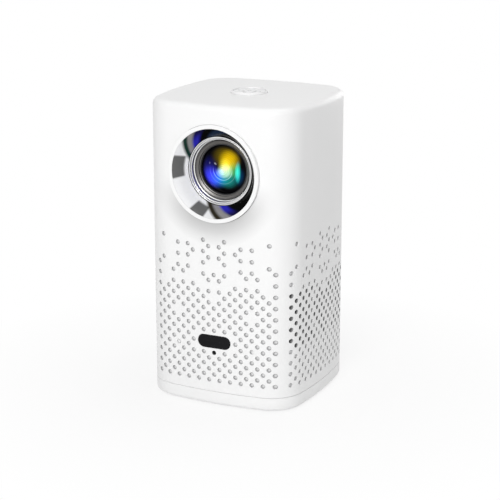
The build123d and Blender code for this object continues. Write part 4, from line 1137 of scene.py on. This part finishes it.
def coated_glass():
    """Dark glass with painted reflections: soft coloured lobes off its coatings, fine rings and
    bright arcs.

    Places are in glass radii from the axis. A lobe is 1 at its middle and falls to 0 at its half
    size by a smooth step, and the lobes add up. Everything fades to black towards the edge."""
    dark = (0.01, 0.01, 0.01)
    material = finish("coated_glass", dark, 0.05, depth=0.0005, Specular_IOR_Level=0.03)
    tree = Tree(material)
    lens = {"Location": (0, GLASS_APEX_Y * MM, LENS_Z * MM), "Scale": (GLASS_R * MM,) * 3}
    as_texture = {"vector_type": "TEXTURE"}
    centred = tree.add("Mapping", as_texture, {"Vector": tree.own_place(), **lens})
    flat = tree.add("Mapping", {}, {"Vector": centred, "Scale": (1, 0, 1)})
    radius = tree.add("VectorMath", {"operation": "LENGTH"}, {0: flat}, "Value")
    total = (0.0015, 0.0015, 0.0025, 1)
    # Painted reflection lobes: middle (across, up), half sizes, turn in degrees, colour.
    lobes = (
        (0.15, 0.52, 0.75, 0.6, 10, (0.16, 0.11, 0.0)),
        (0.27, 0.42, 0.52, 0.5, 0, (0.72, 0.46, 0.0)),
        (0.1, 0.2, 0.34, 0.36, 20, (0.5, 0.5, 0.04)),
        (0.12, -0.04, 0.42, 0.36, -12, (0.7, 0.95, 0.6)),
        (-0.1, -0.1, 0.24, 0.22, 0, (0.15, 0.3, 0.7)),
        (-0.65, -0.15, 0.6, 0.8, 0, (0.012, 0.012, 0.16)),
        (-0.5, -0.34, 0.6, 0.56, 0, (0.045, 0.05, 0.95)),
        (-0.2, -0.42, 0.5, 0.42, 0, (0.01, 0.12, 0.4)),
        (0.2, -0.38, 0.55, 0.45, 0, (0.01, 0.28, 0.25)),
        (0.46, 0.02, 0.27, 0.42, 0, (0.05, 0.34, 0.07)),
        (0.64, -0.06, 0.15, 0.52, 2, (0.05, 0.95, 0.78)),
        (0.75, -0.3, 0.3, 0.5, 0, (0.0, 0.04, 0.12)),
        (-0.33, 0.23, 0.09, 0.05, 30, (0.35, 0.35, 0.4)),
        (-0.6, 0.23, 0.05, 0.07, 0, (0.12, 0.12, 0.2)),
    )
    for across, up, wide, high, lean, colour in lobes:
        where = {"Location": (across, 0, up), "Rotation": (0, radians(lean), 0)}
        where["Scale"] = (wide, 9, high)
        moved = tree.add("Mapping", as_texture, {"Vector": centred, **where})
        fall = tree.add("TexGradient", {"gradient_type": "SPHERICAL"}, {"Vector": moved}, "Fac")
        total = tree.mix(tree.spread(fall, 0, 0.85), total, (*colour, 1), "ADD")
    # Painted highlight arcs on the lower half of the glass.
    for reach, strength in ((0.42, 0.45), (0.3, 0.3), (0.58, 0.14)):
        line = tree.maths("ABSOLUTE", tree.maths("SUBTRACT", radius, reach))
        height = tree.add("SeparateXYZ", {}, {"Vector": centred}, "Z")
        lower = tree.spread(height, 0.12, -0.25, 0.0, strength)
        arc = tree.maths("MULTIPLY", tree.spread(line, 0.03, 0.0), lower)
        total = tree.mix(arc, total, (0.5, 0.8, 0.9, 1), "ADD")
    # Fine painted rings of reflection, faded to black towards the edge.
    rings = {"wave_type": "RINGS", "rings_direction": "Y"}
    wave = tree.add("TexWave", rings, {"Vector": centred, "Scale": 4.2, "Distortion": 0.6}, "Fac")
    edge = tree.spread(radius, 1.0, 0.78)
    level = tree.maths("MULTIPLY", tree.spread(wave, 0, 1, 0.8, 1.0), edge)
    tree.shade(Base_Color=tree.mix(level, (0.0015, 0.0015, 0.002, 1), total))
    return material


# Finishes that need no more than the noise: colour, roughness, metallic and what differs.
PLAIN_FINISHES = {
    "white_keys": ((0.86, 0.86, 0.865), 0.32, 0, {"spread": 0.006, "depth": 0.006}),
    "grey_print": ((0.42, 0.43, 0.44), 0.5, 0, {}),
    "black_gloss": ((0.006, 0.006, 0.007), 0.12, 0, {"depth": 0.002, "Specular_IOR_Level": 0.12}),
    "black_plastic": ((0.022, 0.022, 0.024), 0.5, 0, {"spread": 0.1}),
    "rubber_dark": ((0.035, 0.035, 0.035), 0.8, 0, {"spread": 0.15, "depth": 0.05}),
    "board_green": ((0.02, 0.12, 0.05), 0.4, 0, {"spread": 0.2}),
    "bright_lip": ((0.8, 0.8, 0.8), 0.3, 1, {"depth": 0.001}),
    "satin_ring": ((0.15, 0.145, 0.14), 0.36, 1, {"spread": 0.04, "depth": 0.01}),
    "clear_sheet": ((0.9, 0.93, 0.95), 0.12, 0, {"depth": 0.004, "Transmission_Weight": 0.9}),
    "panel_glass": ((0.03, 0.03, 0.035), 0.08, 0, {"depth": 0.001}),
    "silver_mirror": ((0.92, 0.92, 0.92), 0.02, 1, {"depth": 0.001}),
    "lamp_plate": ((0.8, 0.62, 0.12), 0.4, 0, {"spread": 0.1}),
    "sink_metal": ((0.68, 0.69, 0.7), 0.38, 1, {"spread": 0.06}),
    "sheet_steel": ((0.56, 0.57, 0.58), 0.32, 1, {"spread": 0.06}),
    "black_steel": ((0.02, 0.02, 0.02), 0.35, 0, {"spread": 0.1}),
    "paper_cone": ((0.05, 0.05, 0.05), 0.9, 0, {"spread": 0.3, "depth": 0.1}),
    "ferrite": ((0.06, 0.06, 0.06), 0.6, 0, {"spread": 0.2, "depth": 0.05}),
    "bright_rod": ((0.72, 0.72, 0.73), 0.12, 1, {"depth": 0.002}),
    "brass_thread": ((0.72, 0.5, 0.18), 0.25, 1, {"spread": 0.08}),
    "laser_glass": ((0.03, 0.02, 0.12), 0.04, 0, {"depth": 0.001}),
    "gilt_contact": ((0.83, 0.6, 0.22), 0.25, 1, {"spread": 0.05, "depth": 0.004}),
}


def make_finishes():
    """Every finish, by the slot that it is for in the record."""
    made = {name: finish(name, *plain, **rest) for name, (*plain, rest) in PLAIN_FINISHES.items()}
    return made | {
        "white_shell": white_shell(),
        "polished_cone": polished_cone(),
        "coated_glass": coated_glass(),
    }


def finish_cad_nodes():
    """Gives each CAD node the finish of its slot."""
    slots = {part["node"]: part["material_slot"] for part in frame["record"]["subparts"]}
    for name, node in frame["nodes"].items():
        node.data.materials.clear()
        node.data.materials.append(FINISHES[slots[name]])


# ---------------------------------------------------------------- studio
def camera():
    azimuth, elevation = radians(CAMERA_AZIMUTH), radians(CAMERA_ELEVATION)
    right = Vector((cos(azimuth), sin(azimuth), 0))
    back = Vector((sin(azimuth) * cos(elevation), -cos(azimuth) * cos(elevation), sin(elevation)))
    up = back.cross(right)
    data = bpy.data.cameras.new("camera")
    data.lens = CAMERA_LENS
    data.sensor_width = 36.0
    data.clip_start, data.clip_end = 0.05, 50.0
    made = shown("camera", data)
    spot = Vector((0, 0, CAMERA_AIM_Z)) + back * CAMERA_DISTANCE
    spot += right * CAMERA_SIDE + up * CAMERA_RISE
    turn = Matrix((right, up, back)).transposed().to_4x4()
    made.matrix_world = Matrix.Translation(spot * MM) @ turn
    bpy.context.scene.camera = made


def area_lamp(name, spot, size, power):
    """Large square lamp that points at the middle of the case."""
    data = bpy.data.lights.new(name, "AREA")
    data.shape = "SQUARE"
    data.size = size
    data.energy = power
    made = shown(name, data)
    made.location = spot
    aim = Vector((0, 0, 0.13)) - made.location
    made.rotation_mode = "QUATERNION"
    made.rotation_quaternion = aim.to_track_quat("-Z", "Y")


def white_when_seen(tree, other, level):
    """Mixes a plain white, at level, into what the camera, a mirror or a glass sees directly."""
    seen = 0.0
    for ray in ("Is Camera Ray", "Is Glossy Ray", "Is Transmission Ray"):
        seen = tree.maths("MAXIMUM", seen, tree.add("LightPath", {}, {}, ray))
    white = tree.add("Emission", {}, {"Color": (1, 1, 1, 1), "Strength": 1.0})
    return tree.add("MixShader", {}, {0: tree.maths("MULTIPLY", seen, level), 1: other, 2: white})


def pale_floor():
    """Pale floor that fades into the white surroundings away from the object."""
    floor_mesh = bpy.data.meshes.new("floor")
    reach = FLOOR_REACH
    corners = [(-reach, -reach, 0), (reach, -reach, 0), (reach, reach, 0), (-reach, reach, 0)]
    floor_mesh.from_pydata(corners, [], [(0, 1, 2, 3)])
    floor = shown("floor", floor_mesh)
    material = bpy.data.materials.new("pale_floor")
    tree = Tree(material)
    tree.shade(Base_Color=(0.93, 0.93, 0.93, 1), Roughness=0.9, Specular_IOR_Level=0.0)
    near = {"Vector": tree.own_place(), "Scale": (0.3, 0.3, 0.3)}
    near = tree.add("Mapping", {"vector_type": "TEXTURE"}, near)
    fade = tree.add("TexGradient", {"gradient_type": "SPHERICAL"}, {"Vector": near}, "Fac")
    level = tree.spread(fade, 0, 0.6, 1.0, 0.8, "LINEAR")
    lit = tree.nodes["Principled BSDF"].outputs[0]
    tree.feed(tree.nodes["Material Output"].inputs["Surface"], white_when_seen(tree, lit, level))
    floor_mesh.materials.append(material)


def studio():
    """White surroundings, the floor and the soft lamps."""
    world = bpy.data.worlds.new("studio")
    bpy.context.scene.world = world
    tree = Tree(world)
    ambient = tree.nodes["Background"]
    ambient.inputs["Color"].default_value = (1, 1, 1, 1)
    ambient.inputs["Strength"].default_value = AMBIENT
    surface = tree.nodes["World Output"].inputs["Surface"]
    tree.feed(surface, white_when_seen(tree, ambient.outputs[0], 1.0))
    pale_floor()
    for lamp in LAMPS:
        area_lamp(*lamp)
    bpy.context.scene.view_settings.view_transform = "Standard"


FINISHES = make_finishes()
camera()
finish_cad_nodes()
case_shell()
foot_cover()
rubber_feet()
inner_posts()
socket_insides()
disc_seat()
lens_pieces()
front_plate()
key_pad()
studio()
